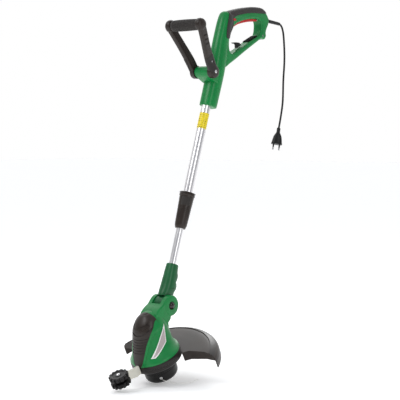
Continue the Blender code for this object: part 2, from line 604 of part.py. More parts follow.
def build_housing():
    inside = housing_solid("motor_space", -2.6, True)
    shield_gap = shield_prism("cover_gap", 0.3)
    tongue = turned("tongue_space", [(0, 16.3), (27.6, 16.3), (27.6, -16.3), (0, -16.3)], None, HEAD,
                    (0, 0, 0),
                    "X", 24)
    mouth = cutter("fork_mouth", block((-16.3, -27.6, 0), (16.3, 60, 60)), HEAD)
    pin_hole = turned("pivot_pin_hole", [(0, 20.5), (5.3, 20.5), (5.3, -27.5), (0, -27.5)], None, HEAD,
                      (0, 0, 0),
                      "X", 16)
    pocket = turned("tilt_button_pocket", [(0, 40), (11.4, 40), (11.4, 21.2), (0, 21.2)], None, HEAD,
                    (0, 0, 0),
                    "X", 24)
    ear = [(0, 32), (27, 32), (30, 29.5), (30, -29.5), (27, -32), (0, -32)]
    for side, name, half in ((1, "motor_housing_left", LEFT), (-1, "motor_housing_right", RIGHT)):
        shell = add(name, housing_solid(name + "_form").data.copy(), GREEN, HEAD_AXIS)
        boolean(shell, cutter("neck_" + name, slab([NECK], 31 * MM, 4 * MM), HEAD), "UNION")
        boolean(shell, turned("ear_" + name, ear, None, HEAD, (0, 0, 0), "X", 24), "UNION")
        for hole in (inside, shield_gap, tongue, mouth, pin_hole, pocket):
            boolean(shell, hole)
        boolean(shell, half, "INTERSECT")
    cover = add("front_cover", housing_solid("cover_form", 1.2).data.copy(), CHARCOAL, HEAD_AXIS)
    boolean(cover, housing_solid("cover_hollow", -2.6, True))
    boolean(cover, shield_prism("cover_edge"), "INTERSECT")
    for side, name in ((1, "side_insert_left"), (-1, "side_insert_right")):
        plate = add(name, housing_solid(name + "_form", 1.6).data.copy(), SILVER, HEAD_AXIS)
        boolean(plate, housing_solid(name + "_back", 0.3))
        mesh = slab([INSERT], 30 * MM)
        mesh.transform(Matrix.Translation((side * 52 * MM, 0, 0)))
        boolean(plate, cutter(name + "_edge", mesh, HEAD), "INTERSECT")
    turned("pivot_pin", [(0, 20), (5, 20), (5, -27), (0, -27)], STEEL, HEAD_AXIS, (0, 0, 0), "X", 16)
    button_axis = joint_frame("tilt_button_axis", HEAD_AXIS, (0, 0, 0))
    button = [(0, 37), (4, 36.6), (8, 35), (10.4, 32), (11, 29), (11, 26), (0, 26)]
    turned("tilt_button", button, BLACK, button_axis, (0, 0, 0), "X", 24)


def build_base():
    at = (0, SPOOL_Y, 0)
    skirt = [(6, -124), (71.8, -124), (71.8, -103.3), (73, -103.3), (75, -108), (75, -123), (73, -127),
             (6, -127)]
    turned("base_skirt", skirt, CHARCOAL, HEAD_AXIS, at, steps=28, ring=True)
    can = [(0, -50), (12, -50), (12, -54), (27, -54), (27, -112), (8, -112), (8, -110.4), (25.4, -110.4),
           (25.4, -56), (0, -56)]
    turned("motor_can", can, STEEL, HEAD_AXIS, at, steps=18)
    turned("motor_bearing", pipe_profile(7.7, 3, -104, -110), STEEL, HEAD_AXIS, at, steps=16, ring=True)


def build_guard():
    at = (GUARD_X, SPOOL_Y, 0)
    outer = [(0, -120.5), (110, -121.5), (150, -125), (172, -131), (184, -138.5), (188, -148), (188, -172),
             (0, -172)]
    inner = [(0, -123.5), (109, -124.5), (149, -128), (170.5, -133.8), (181.5, -141), (185, -149),
             (185, -175),
             (0, -175)]
    region = [(230, -38), (130, -32), (80, -42), (64, -55), (50, -80), (-50, -80), (-64, -55), (-80, -42),
              (-130, -32), (-250, -38), (-250, 120), (230, 120)]
    plan = Matrix.Translation((0, 0, -150 * MM))
    hollow = turned("guard_hollow", inner, None, HEAD, at, steps=48)
    boolean(hollow, cutter("guard_plan_inner", slab([region], 60 * MM, 0, 3 * MM, 2, plan), HEAD),
            "INTERSECT")
    boolean(hollow, turned("guard_collar", [(0, -90), (79, -90), (79, -190), (0, -190)], None, HEAD,
                           (0, SPOOL_Y, 0), steps=40))
    trim = turned("guard_front_trim", [(0, -150), (184.6, -150), (184.6, -190), (0, -190)], None, HEAD, at,
                  steps=48)
    hole = turned("guard_hole", [(0, -90), (75.9, -90), (75.9, -190), (0, -190)], None, HEAD,
                  (0, SPOOL_Y, 0), steps=40)
    guard = turned("guard", outer, CHARCOAL, HEAD_AXIS, at, steps=48)
    boolean(guard, cutter("guard_plan", slab([region], 60 * MM, 0, 0, 2, plan), HEAD), "INTERSECT")
    for tool in (hollow, trim, hole):
        boolean(guard, tool)
    turn = Matrix.Translation(at) @ Matrix.Rotation(math.radians(-66), 4, "Z")
    add("line_cutter", block((-9, 182.9, -178), (9, 184.3, -152)), STEEL, HEAD_AXIS, turn)


def build_wheel():
    y, z = WHEEL_Y / MM, WHEEL_Z / MM
    side = [(-171.9, -96), (-171.9, -121), (-190, -121), (-214, -112), (-220, -109), (-220, -84),
            (-214, -84),
            (-192, -92)]
    arm = eased(add("wheel_arm", slab([side], 4 * MM), CREAM, HEAD_AXIS), 0.8 * MM, 1)
    plan = [(-7, -216), (7, -216), (7, y), (-7, y)]
    tongue = slab([plan], 3.4 * MM, 0, 0, 2, Matrix.Translation((0, 0, z * MM)))
    boolean(arm, cutter("arm_tongue", tongue, HEAD), "UNION")
    at = (0, WHEEL_Y, WHEEL_Z)
    boolean(arm, turned("arm_eye", [(0, 3.4), (14, 3.4), (14, -3.4), (0, -3.4)], None, HEAD, at, steps=24),
            "UNION")
    boolean(arm, turned("arm_eye_hole", [(0, 9), (10.4, 9), (10.4, -9), (0, -9)], None, HEAD, at, steps=24))
    rim = WHEEL_R / MM
    wheel = [(3.3, 16), (rim - 2.5, 17), (rim, 15), (rim, 5.4), (rim - 1.5, 4), (10, 4), (10, -4),
             (rim - 1.5, -4),
             (rim, -5.4), (rim, -15), (rim - 2.5, -17), (3.3, -16)]
    turned("guide_wheel", wheel, BLACK, WHEEL_AXIS, at, steps=24, ring=True)
    axle = [(0, 19), (4, 18.6), (6, 16.5), (6, 16.3), (3, 16.3), (3, -16.3), (6, -16.3), (6, -17.5),
            (4, -18.6), (0, -19)]
    turned("wheel_axle", axle, STEEL, WHEEL_AXIS, at, steps=16)


# ---- spool --------------------------------------------------------------------------------------------
EYELET_ANGLE = math.radians(-50)
EYELET_Z = -160
# The nylon line lies in the eyelets' plane: (X, Y) in millimetres in the head frame.
LINE_ROUTE = [(29.9, -130.6), (34.3, -135.6), (40.5, -139), (53.8, -141.4), (73.7, -143.4), (95.4, -144),
              (117, -141.6), (134, -135.2), (146, -125), (153.6, -111)]


def ring_of(radius, count, start=0.0):
    return [(radius * math.cos(start + 2 * math.pi * k / count),
             radius * math.sin(start + 2 * math.pi * k / count))
            for k in range(count)]


def build_spool():
    at = (0, SPOOL_Y, 0)
    turned("motor_shaft", [(0, -57), (2.6, -57), (2.6, -151), (0, -151)], STEEL, SPOOL_AXIS, at, steps=12)
    turned("rotor_core", pipe_profile(22, 2.9, -64, -100), COPPER, SPOOL_AXIS, at, steps=20, ring=True)
    star = []
    for k in range(9):
        for radius, lag in ((12, 0.0), (29, 0.18), (30, 0.36), (12, 0.22)):
            a = 2 * math.pi * k / 9 + lag
            star.append((radius * math.cos(a), radius * math.sin(a)))
    fan = slab([star, ring_of(2.9, 12)], 3 * MM, 0, 0, 2,
               Matrix.Translation(Vector(at) + Vector((0, 0, -119 * MM))))
    add("cooling_fan", fan, BLACK, SPOOL_AXIS)
    carrier = [(2.9, -137), (9, -137), (9, -140.5), (46, -140.5), (46, -143), (9, -143), (9, -148),
               (2.9, -148)]
    turned("spool_carrier", carrier, BLACK, SPOOL_AXIS, at, steps=20, ring=True)
    radius = SPOOL_R / MM
    cup = [(radius, -130), (radius, -166), (47, -173), (42, -178.5), (34, -181.5), (17, -182.5),
           (17, -180.5),
           (33, -179.5), (40.8, -176.6), (45, -172), (46.6, -165.5), (46.6, -130)]
    housing = turned("spool_housing", cup, BLACK, SPOOL_AXIS, at, steps=28, ring=True)
    reel = [(18.5, -145), (44.5, -145), (44.5, -147), (20.5, -147), (20.5, -173.5), (39, -173.5),
            (39, -175.5),
            (18.5, -175.5)]
    turned("line_reel", reel, CREAM, SPOOL_AXIS, at, steps=16, ring=True)
    turned("line_winding", pipe_profile(38, 20.8, -147.4, -173.1), NYLON, SPOOL_AXIS, at, steps=16,
           ring=True)
    for k in (0, 1):
        spot = empty("eyelet_frame_%d" % k, HEAD, at, (0, 0, EYELET_ANGLE + k * math.pi))
        profile = [(1.4, 2), (4.2, 2), (4.2, 0.3), (2.9, 0.3), (2.9, -3), (1.4, -3)]
        place = (radius * MM, 0, EYELET_Z * MM)
        turned("line_eyelet_%d" % (k + 1), profile, STEEL, spot, place, "X", 14, ring=True)
        boolean(housing, turned("eyelet_hole_%d" % k, [(0, 6), (3.2, 6), (3.2, -6), (0, -6)], None, spot,
                                place,
                                "X", 14))
    route = [Vector((x, y, EYELET_Z)) * MM for x, y in LINE_ROUTE]
    add("cutting_line", tube_mesh(smooth_path(route, 3), LINE_R, 1), NYLON, SPOOL_AXIS)
    knob = [(0, -160), (6, -160), (6, -171), (16.4, -171), (16.4, -185.5), (15, -187), (0, -187)]
    turned("tap_button", knob, CHARCOAL, TAP_AXIS, at, steps=24)
    turns, per_turn, wire_r = 3, 8, 0.7
    coil = []
    for k in range(turns * per_turn + 1):
        a = 2 * math.pi * k / per_turn
        coil.append(Vector((12 * math.cos(a), SPOOL_Y / MM + 12 * math.sin(a),
                            -150 - k * 19.5 / turns / per_turn)) * MM)
    add("tap_spring", tube_mesh(coil, wire_r * MM, 1), STEEL, TAP_AXIS)


def main():
    build_handle()
    build_grip_rubber()
    build_trigger()
    build_cord()
    build_cable_hook()
    build_front_handle()
    build_tubes()
    build_socket()
    build_housing()
    build_base()
    build_guard()
    build_wheel()
    build_spool()


main()
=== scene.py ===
"""The finished look of a corded electric string trimmer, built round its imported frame.

Outlines and sections are in millimetres in one of three frames: the world frame for the rear handle, the
shaft frame (Z up the tubes) and the head frame (Z up the spool's axis), both with their origin at the tilt
pivot.  +X is the tool's left side, -Y its front.
"""

import json
import math

import bmesh
import bpy
from mathutils import Matrix, Vector


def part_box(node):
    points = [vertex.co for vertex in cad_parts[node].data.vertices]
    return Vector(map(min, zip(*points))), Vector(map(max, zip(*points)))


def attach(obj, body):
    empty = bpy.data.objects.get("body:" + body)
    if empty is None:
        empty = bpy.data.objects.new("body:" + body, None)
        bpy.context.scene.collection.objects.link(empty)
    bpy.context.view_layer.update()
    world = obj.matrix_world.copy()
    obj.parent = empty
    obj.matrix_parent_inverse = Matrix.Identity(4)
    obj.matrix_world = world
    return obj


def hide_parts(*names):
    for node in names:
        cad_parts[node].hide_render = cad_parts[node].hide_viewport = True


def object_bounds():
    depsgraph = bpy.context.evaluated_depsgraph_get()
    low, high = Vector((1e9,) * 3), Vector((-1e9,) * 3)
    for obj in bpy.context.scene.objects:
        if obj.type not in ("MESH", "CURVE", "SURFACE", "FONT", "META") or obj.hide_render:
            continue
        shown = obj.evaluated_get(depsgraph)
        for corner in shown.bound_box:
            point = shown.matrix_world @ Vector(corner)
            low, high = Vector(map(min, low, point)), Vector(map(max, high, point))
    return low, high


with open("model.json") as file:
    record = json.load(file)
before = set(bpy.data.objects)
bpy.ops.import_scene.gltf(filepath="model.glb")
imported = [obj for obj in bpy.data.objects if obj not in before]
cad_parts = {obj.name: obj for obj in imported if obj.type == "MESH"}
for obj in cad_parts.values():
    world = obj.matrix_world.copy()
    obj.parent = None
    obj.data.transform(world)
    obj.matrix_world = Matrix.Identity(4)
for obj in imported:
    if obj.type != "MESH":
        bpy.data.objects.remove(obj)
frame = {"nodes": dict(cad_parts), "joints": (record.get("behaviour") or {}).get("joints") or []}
CAD_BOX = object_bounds()
NODES = frame["nodes"]
JOINTS = {joint["name"]: joint for joint in frame["joints"]}
MM = 0.001
CREASE = math.radians(32)              # edges sharper than this stay sharp


def frame_along(point, up):
    """A frame at the point, with Z along the given direction and X across the tool."""
    z, x = Vector(up).normalized(), Vector((1, 0, 0))
    made = Matrix((x, z.cross(x), z)).transposed().to_4x4()
    made.translation = Vector(point)
    return made


WORLD = Matrix.Identity(4)
PIVOT = JOINTS["head_tilt"]["pos_m"]
SHAFT = frame_along(PIVOT, JOINTS["edging_turn"]["axis"])
HEAD = frame_along(PIVOT, JOINTS["spool_spin"]["axis"])
SHAFT_LEAN = math.atan2(SHAFT[1][2], SHAFT[2][2])


def moved(by):
    """A move in millimetres."""
    return Matrix.Translation(Vector(by) * MM)


def spun(degrees, axis):
    return Matrix.Rotation(math.radians(degrees), 4, axis)


def new_object(name, data):
    """A new object, linked to the scene."""
    made = bpy.data.objects.new(name, data)
    bpy.context.scene.collection.objects.link(made)
    return made


def in_frame(matrix, point):
    """A world point, in millimetres of the given frame."""
    return (matrix.inverted() @ Vector(point)) / MM


SPOOL = in_frame(HEAD, JOINTS["spool_spin"]["pos_m"])
WHEEL = in_frame(HEAD, JOINTS["wheel_spin"]["pos_m"])
AUX_PIVOT = in_frame(SHAFT, JOINTS["front_handle_swing"]["pos_m"])
GRIP_LOW, GRIP_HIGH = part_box("front_grip")
AUX_BAR = in_frame(SHAFT, (GRIP_LOW + GRIP_HIGH) / 2)
AUX_GRIP_HALF = GRIP_HIGH.x / MM


# ---- camera, light and floor --------------------------------------------------------------------------
CAMERA_TURN = math.radians(40)         # round to the tool's left side
CAMERA_PITCH = math.radians(2.7)
CAMERA_DISTANCE = 4.0
CAMERA_ASIDE, CAMERA_BELOW = 0.1415, 0.5662    # the grip stands this far off the middle of the view


def set_camera():
    """A long lens from the front left, just above the level of the grip."""
    right = Vector((math.cos(CAMERA_TURN), math.sin(CAMERA_TURN), 0))
    level = Vector((-math.sin(CAMERA_TURN), math.cos(CAMERA_TURN), 0))
    ahead = level * math.cos(CAMERA_PITCH) - Vector((0, 0, math.sin(CAMERA_PITCH)))
    up = right.cross(ahead)
    data = bpy.data.cameras.new("camera")
    data.lens, data.sensor_width = 117, 36
    camera = new_object("camera", data)
    turn = Matrix((right, up, -ahead)).transposed().to_4x4()
    turn.translation = -(ahead * CAMERA_DISTANCE + up * CAMERA_BELOW + right * CAMERA_ASIDE)
    camera.matrix_world = turn
    bpy.context.scene.camera = camera


def add_softbox(name, place, size, power):
    """A rectangular light aimed at the middle of the tool; places and sizes are in metres."""
    data = bpy.data.lights.new(name, "AREA")
    data.shape, data.size, data.size_y, data.energy = "RECTANGLE", size[0], size[1], power
    light = new_object(name, data)
    light.location = place
    aim = Vector((0, -0.2, -0.5)) - Vector(place)
    light.rotation_euler = aim.to_track_quat("-Z", "Y").to_euler()


def paint_backdrop(tree):
    """A white cyclorama ahead of the camera, falling off to grey behind it so that edges keep contrast."""
    where = add_node(tree, "ShaderNodeTexCoord").outputs["Generated"]
    ahead = add_node(tree, "ShaderNodeVectorMath", {"operation": "DOT_PRODUCT"}, Vector=where)
    ahead.inputs[1].default_value = (-math.sin(CAMERA_TURN), math.cos(CAMERA_TURN), 0)
    paint = add_node(tree, "ShaderNodeValToRGB", {"stops": ((0, linear("#8E9094")),
                                                            (0.75, linear("#FFFFFF")))},
                     Fac=ahead.outputs["Value"])
    height = add_node(tree, "ShaderNodeSeparateXYZ", {}, Vector=where)
    bank = add_node(tree, "ShaderNodeMapRange", {"interpolation_type": "SMOOTHSTEP", "From Min": 0.3,
                                                 "From Max": 0.9, "To Min": 1.0, "To Max": 2.1},
                    Value=height.outputs["Z"])
    feed(tree, tree.nodes["Background"], Color=paint.outputs["Color"], Strength=bank.outputs["Result"])


def set_studio():
    world = bpy.data.worlds.new("studio")
    world.use_nodes = True
    paint_backdrop(world.node_tree)
    bpy.context.scene.world = world
    bpy.context.scene.view_settings.view_transform = "Standard"
    add_softbox("key_softbox", (-0.9, -2.6, 1.9), (1.6, 1.2), 34)
    add_softbox("side_softbox", (2.8, -1.2, 0.6), (0.8, 2.2), 18)
    add_softbox("back_softbox", (-1.4, 2.4, 1.0), (1.2, 1.6), 22)
    floor = bpy.data.meshes.new("floor")
    low, side = CAD_BOX[0].z - 0.004, 30
    floor.from_pydata([(-side, -side, low), (side, -side, low), (side, side, low), (-side, side, low)], [],
                      [(0, 1, 2, 3)])
    floor.materials.append(studio_floor())
    new_object("floor", floor)


# ---- materials ----------------------------------------------------------------------------------------
def linear(hex_colour):
    """An sRGB hex colour as linear values, with full alpha."""
    parts = [int(hex_colour[i:i + 2], 16) / 255 for i in (1, 3, 5)]
    return tuple(c / 12.92 if c <= 0.04045 else ((c + 0.055) / 1.055) ** 2.4 for c in parts) + (1.0,)


def feed(tree, node, **fed):
    """Links outputs to the node's sockets, each named with _ for a space."""
    for name, output in fed.items():
        tree.links.new(output, node.inputs[name.replace("_", " ")])


def add_node(tree, kind, settings=None, **fed):
    """Adds a node.  Settings name its properties or sockets, or give the stops of its colour ramp."""
    made = tree.nodes.new(kind)
    for name, value in (settings or {}).items():
        if name == "stops":
            for stop, (at, colour) in zip(made.color_ramp.elements, value):
                stop.position, stop.color = at, colour
        elif name in made.inputs:
            made.inputs[name].default_value = value
        else:
            setattr(made, name, value)
    feed(tree, made, **fed)
    return made


def new_material(name, hex_colour, roughness, metallic=0.0, ior=1.5):
    """A material, its node tree and its shader."""
    made = bpy.data.materials.new(name)
    made.use_nodes = True
    shader = made.node_tree.nodes["Principled BSDF"]
    shader.inputs["Base Color"].default_value = linear(hex_colour)
    shader.inputs["Roughness"].default_value = roughness
    shader.inputs["Metallic"].default_value = metallic
    if not metallic:
        shader.inputs["IOR"].default_value = ior
    made.diffuse_color = linear(hex_colour)
    return made, made.node_tree, shader


def tone(hex_colour, factor):
    return tuple(c * factor for c in linear(hex_colour)[:3]) + (1.0,)


def mottled(tree, shader, patches, fine, colours, shine, relief):
    """Soft patches that vary a surface's colour and shine, and a fine grain that breaks its gloss.

    Patches and grain are (size in millimetres, detail), and relief is (strength, depth in millimetres).
    """
    place = add_node(tree, "ShaderNodeTexCoord").outputs["Object"]
    wide, grain = (add_node(tree, "ShaderNodeTexNoise", {"Scale": 1 / (size * MM), "Detail": detail},
                            Vector=place) for size, detail in (patches, fine))
    colour = add_node(tree, "ShaderNodeValToRGB", {"stops": colours}, Fac=wide.outputs["Fac"])
    rough = add_node(tree, "ShaderNodeMapRange", {"To Min": shine[0], "To Max": shine[1]},
                     Value=wide.outputs["Fac"])
    bump = add_node(tree, "ShaderNodeBump", {"Strength": relief[0], "Distance": relief[1] * MM},
                    Height=grain.outputs["Fac"])
    feed(tree, shader, Base_Color=colour.outputs["Color"], Roughness=rough.outputs["Result"],
         Normal=bump.outputs["Normal"])


def moulded(name, hex_colour, roughness, grain=0.8, relief=0.12, cloud=0.07, coat=0.0, gloss=0.5):
    """Injection-moulded plastic: the tool's spark-eroded grain breaks the gloss, and handling leaves faint
    patches of a different shine."""
    made, tree, shader = new_material(name, hex_colour, roughness, ior=1.52)
    mottled(tree, shader, (38, 3), (grain, 2), ((0.35, tone(hex_colour, 1 - cloud)),
                                                (0.65, tone(hex_colour, 1 + cloud))),
            (roughness - 0.05, roughness + 0.07), (relief, 0.3))
    shader.inputs["Specular IOR Level"].default_value = gloss
    shader.inputs["Coat Weight"].default_value = coat
    shader.inputs["Coat Roughness"].default_value = 0.12
    return made


def metal(name, hex_colour, roughness, grain=0.5, relief=0.1):
    """Plated or bare metal, with the fine mottling its plating or rolling leaves."""
    made, tree, shader = new_material(name, hex_colour, roughness, metallic=1.0)
    mottled(tree, shader, (grain * 6, 5), (grain, 2), ((0, tone(hex_colour, 0.82)),
                                                       (1, tone(hex_colour, 1.08))),
            (roughness - 0.06, roughness + 0.1), (relief, 0.1))
    return made


def grip_elastomer():
    """Overmoulded TPE: matt, with a pebbled skin that scatters light and lifts dust off the hand."""
    made, tree, shader = new_material("overmoulded TPE", "#3A3430", 0.7)
    place = add_node(tree, "ShaderNodeTexCoord").outputs["Object"]
    pebbles = add_node(tree, "ShaderNodeTexVoronoi", {"Scale": 1 / (2.2 * MM)}, Vector=place)
    dust = add_node(tree, "ShaderNodeTexNoise", {"Scale": 1 / (25 * MM), "Detail": 4.0}, Vector=place)
    colour = add_node(tree, "ShaderNodeValToRGB", {"stops": ((0, linear("#1A1613")),
                                                             (1, linear("#2B2521")))},
                      Fac=dust.outputs["Fac"])
    bump = add_node(tree, "ShaderNodeBump", {"Strength": 0.5, "Distance": 0.4 * MM, "invert": True},
                    Height=pebbles.outputs["Distance"])
    feed(tree, shader, Base_Color=colour.outputs["Color"], Normal=bump.outputs["Normal"])
    shader.inputs["Sheen Weight"].default_value = 0.15
    return made


def drawn_aluminium():
    """Extruded and polished aluminium tube: bright, with faint die lines running along it."""
    made, tree, shader = new_material("drawn aluminium", "#EFEDEE", 0.26, metallic=1.0)
    place = add_node(tree, "ShaderNodeTexCoord").outputs["Object"]
    along = add_node(tree, "ShaderNodeMapping", {"Rotation": (SHAFT_LEAN, 0, 0), "Scale": (1, 1, 0.012)},
                     Vector=place)
    lines = add_node(tree, "ShaderNodeTexNoise", {"Scale": 1 / (0.9 * MM), "Detail": 3.0},
                     Vector=along.outputs["Vector"])
    smears = add_node(tree, "ShaderNodeTexNoise", {"Scale": 1 / (45 * MM), "Detail": 3.0}, Vector=place)
    shine = add_node(tree, "ShaderNodeMapRange", {"To Min": 0.22, "To Max": 0.4},
                     Value=smears.outputs["Fac"])
    bump = add_node(tree, "ShaderNodeBump", {"Strength": 0.12, "Distance": 0.1 * MM},
                    Height=lines.outputs["Fac"])
    feed(tree, shader, Roughness=shine.outputs["Result"], Normal=bump.outputs["Normal"])
    return made


def wound_copper():
    """Enamelled copper wire in slots: fine bands round the core between the steel laminations."""
    made, tree, shader = new_material("enamelled copper windings", "#B4623A", 0.35, metallic=1.0)
    place = add_node(tree, "ShaderNodeTexCoord").outputs["Object"]
    bands = add_node(tree, "ShaderNodeTexWave", {"Scale": 1 / (8 * MM), "Distortion": 0.5,
                                                 "bands_direction": "Z"}, Vector=place)
    colour = add_node(tree, "ShaderNodeValToRGB", {"stops": ((0, linear("#7A3C22")),
                                                             (1, linear("#C87A4C")))},
                      Fac=bands.outputs["Fac"])
    feed(tree, shader, Base_Color=colour.outputs["Color"])
    return made


def trimmer_line():
    """Extruded nylon monofilament: milky clear, with a soft waxy shine."""
    made, tree, shader = new_material("clear nylon line", "#E9E8E2", 0.3, ior=1.53)
    place = add_node(tree, "ShaderNodeTexCoord").outputs["Object"]
    haze = add_node(tree, "ShaderNodeTexNoise", {"Scale": 1 / (3 * MM), "Detail": 2.0}, Vector=place)
    shine = add_node(tree, "ShaderNodeMapRange", {"To Min": 0.22, "To Max": 0.42}, Value=haze.outputs["Fac"])
    feed(tree, shader, Roughness=shine.outputs["Result"])
    shader.inputs["Transmission Weight"].default_value = 0.35
    return made


def label_film():
    """Polyester label film: saturated yellow, with rows of small dark blank marks across it."""
    made, tree, shader = new_material("printed polyester film", "#F4DC22", 0.32)
    place = add_node(tree, "ShaderNodeUVMap", {"uv_map": "label"}).outputs["UV"]
    marks = add_node(tree, "ShaderNodeTexBrick", {"Scale": 1.0, "Brick Width": 0.16, "Row Height": 0.13,
                                                  "Mortar Size": 0.035, "Color1": linear("#3A3726"),
                                                  "Color2": linear("#F0D820"), "Mortar": linear("#F0D820"),
                                                  "Bias": 0.1}, Vector=place)
    grain = add_node(tree, "ShaderNodeTexNoise", {"Scale": 9.0, "Detail": 2.0}, Vector=place)
    shine = add_node(tree, "ShaderNodeMapRange", {"To Min": 0.26, "To Max": 0.4}, Value=grain.outputs["Fac"])
    feed(tree, shader, Base_Color=marks.outputs["Color"], Roughness=shine.outputs["Result"])
    return made


def studio_floor():
    """A seamless matt sweep, lit a little from below as on a light table."""
    made, tree, shader = new_material("studio paper", "#FCFCFC", 0.9)
    place = add_node(tree, "ShaderNodeTexCoord").outputs["Object"]
    fibre = add_node(tree, "ShaderNodeTexNoise", {"Scale": 1 / (6 * MM), "Detail": 3.0}, Vector=place)
    bump = add_node(tree, "ShaderNodeBump", {"Strength": 0.03, "Distance": 0.2 * MM},
                    Height=fibre.outputs["Fac"])
    feed(tree, shader, Normal=bump.outputs["Normal"])
    shader.inputs["Emission Color"].default_value = linear("#FFFFFF")
    shader.inputs["Emission Strength"].default_value = 0.22
    return made


GREEN = moulded("gloss green ABS", "#0A7E3C", 0.34, grain=0.6, relief=0.004, coat=0.06, gloss=0.3)
DARK_GREEN = moulded("dark green ABS", "#165C33", 0.34, grain=0.6, relief=0.02, coat=0.05, gloss=0.35)
CHARCOAL = moulded("charcoal glass-filled nylon", "#2A221D", 0.34, grain=0.9, relief=0.05, cloud=0.1,
                   gloss=0.35)
DARK_CHARCOAL = moulded("dark charcoal nylon", "#1A1512", 0.34, grain=0.9, relief=0.05, cloud=0.1,
                        gloss=0.35)
BLACK = moulded("black nylon", "#0A0908", 0.36, grain=0.8, relief=0.08, gloss=0.3)
# A matt black used as painted shade: it stands for the dark inside a slot along the top of the strut.
SLOT_SHADE_BLACK = moulded("matt black painted slot shade", "#0A0908", 0.75, grain=0.8, relief=0.04, gloss=0.06)
GLOSS_BLACK = moulded("polished black acetal", "#1A1310", 0.12, grain=0.6, relief=0.01)
PVC = moulded("soft black PVC", "#0C0C0C", 0.42, grain=1.4, relief=0.04, gloss=0.35)
RED = moulded("gloss red ABS", "#C21C18", 0.26, grain=0.6, relief=0.02, coat=0.15, gloss=0.4)
CREAM = moulded("natural acetal", "#E2DFD2", 0.42, grain=0.9, relief=0.05, cloud=0.03, gloss=0.4)
SILVER = moulded("silver-grey lacquered ABS", "#B4A8A8", 0.32, grain=0.4, relief=0.02, cloud=0.04, gloss=0.4)
PALE = moulded("pale silver lacquer", "#F4F2F0", 0.26, grain=0.4, relief=0.02, cloud=0.03, gloss=0.4)
RUBBER = grip_elastomer()
ALUMINIUM = drawn_aluminium()
ZINC = metal("zinc-plated steel", "#B9BABB", 0.3)
BRIGHT = metal("polished stainless steel", "#D8D8D8", 0.18, grain=0.4, relief=0.05)
SINTERED = metal("sintered bronze", "#A8926A", 0.42, grain=0.4, relief=0.2)
COPPER = wound_copper()
NYLON = trimmer_line()
LABEL = label_film()


# ---- mesh tools ---------------------------------------------------------------------------------------
def smooth_line(points, steps, closed=False):
    """Catmull-Rom curve through points of any dimension, with this many steps to each span."""
    points = [Vector(p) for p in points]
    count = len(points)
    made = []
    for i in range(count if closed else count - 1):
        if closed:
            a, b, c, d = (points[(i + k) % count] for k in (-1, 0, 1, 2))
        else:
            b, c = points[i], points[i + 1]
            a = points[i - 1] if i else b + (b - c)
            d = points[i + 2] if i + 2 < count else c + (c - b)
        for k in range(steps):
            t = k / steps
            made.append(0.5 * ((2 * b) + (c - a) * t + (2 * a - 5 * b + 4 * c - d) * t * t
                               + (3 * b - a - 3 * c + d) * t ** 3))
    return made if closed else made + [points[-1]]


def tidy(work, name):
    """The finished mesh of a bmesh: doubles merged, faces outward."""
    bmesh.ops.remove_doubles(work, verts=work.verts, dist=0.000002)
    bmesh.ops.recalc_face_normals(work, faces=work.faces)
    mesh = bpy.data.meshes.new(name)
    work.to_mesh(mesh)
    work.free()
    return mesh


def lofted(rings, place=WORLD, hoop=False):
    """A closed skin through equal rings, in millimetres, with flat ends or as a hoop closed on itself."""
    work = bmesh.new()
    rows = [[work.verts.new(place @ (Vector(p) * MM)) for p in ring] for ring in rings]
    count = len(rings[0])
    for low, high in zip(rows, rows[1:] + rows[:1] if hoop else rows[1:]):
        for i in range(count):
            work.faces.new((low[i], low[(i + 1) % count], high[(i + 1) % count], high[i]))
    if not hoop:
        work.faces.new(rows[0])
        work.faces.new(rows[-1])
    return tidy(work, "loft")


def turned(profile, place=WORLD, at=(0, 0, 0), axis="Z", steps=72, hoop=False):
    """A turned skin from (radius, height) pairs in millimetres, about Z or X through the given point."""
    work, rows = bmesh.new(), []
    for radius, height in profile:
        count = steps if radius else 1
        row = []
        for k in range(count):
            a = 2 * math.pi * k / count
            c, s = radius * math.cos(a), radius * math.sin(a)
            local = {"Z": (c, s, height), "X": (height, c, s), "-X": (-height, -c, s)}[axis]
            row.append(work.verts.new(place @ ((Vector(local) + Vector(at)) * MM)))
        rows.append(row)
    for low, high in zip(rows, rows[1:] + rows[:1] if hoop else rows[1:]):
        for i in range(steps):
            j = (i + 1) % steps
            corners = [low[i % len(low)], low[j % len(low)], high[j % len(high)], high[i % len(high)]]
            if len(low) + len(high) > 2:
                work.faces.new(list(dict.fromkeys(corners)))
    return tidy(work, "turned")


def rod(radius, top, bottom, place=WORLD, at=(0, 0, 0), axis="Z", steps=72):
    """A plain cylinder in millimetres."""
    return turned([(0, top), (radius, top), (radius, bottom), (0, bottom)], place, at, axis, steps)


def superellipse(half_x, half_y, power, count):
    """Points round a superellipse, as pairs that start just past its X axis."""
    turns = [2 * math.pi * (i + 0.5) / count for i in range(count)]
    return [(math.copysign(abs(c) ** (2 / power), c) * half_x,
             math.copysign(abs(s) ** (2 / power), s) * half_y)
            for c, s in ((math.cos(a), math.sin(a)) for a in turns)]


def oval(z, half_x, y_front, y_rear, power, count, grow=0.0):
    """A superellipse ring across Z, in millimetres."""
    half_y, mid = (y_rear - y_front) / 2 + grow, (y_rear + y_front) / 2
    return [Vector((x, y + mid, z)) for x, y in superellipse(half_x + grow, half_y, power, count)]


SIDE_ON = Matrix(((0, 0, 1, 0), (1, 0, 0, 0), (0, 1, 0, 0), (0, 0, 0, 1)))     # outline x, y -> Y, Z
FACE_ON = Matrix(((1, 0, 0, 0), (0, 0, -1, 0), (0, 1, 0, 0), (0, 0, 0, 1)))    # outline x, y -> X, Z


def settled(holder, *others):
    """The working object's mesh, its modifiers applied.  It and any others it used are then removed."""
    bpy.context.view_layer.update()
    mesh = bpy.data.meshes.new_from_object(holder.evaluated_get(bpy.context.evaluated_depsgraph_get()))
    for used in (holder, *others):
        bpy.data.objects.remove(used)
    return mesh


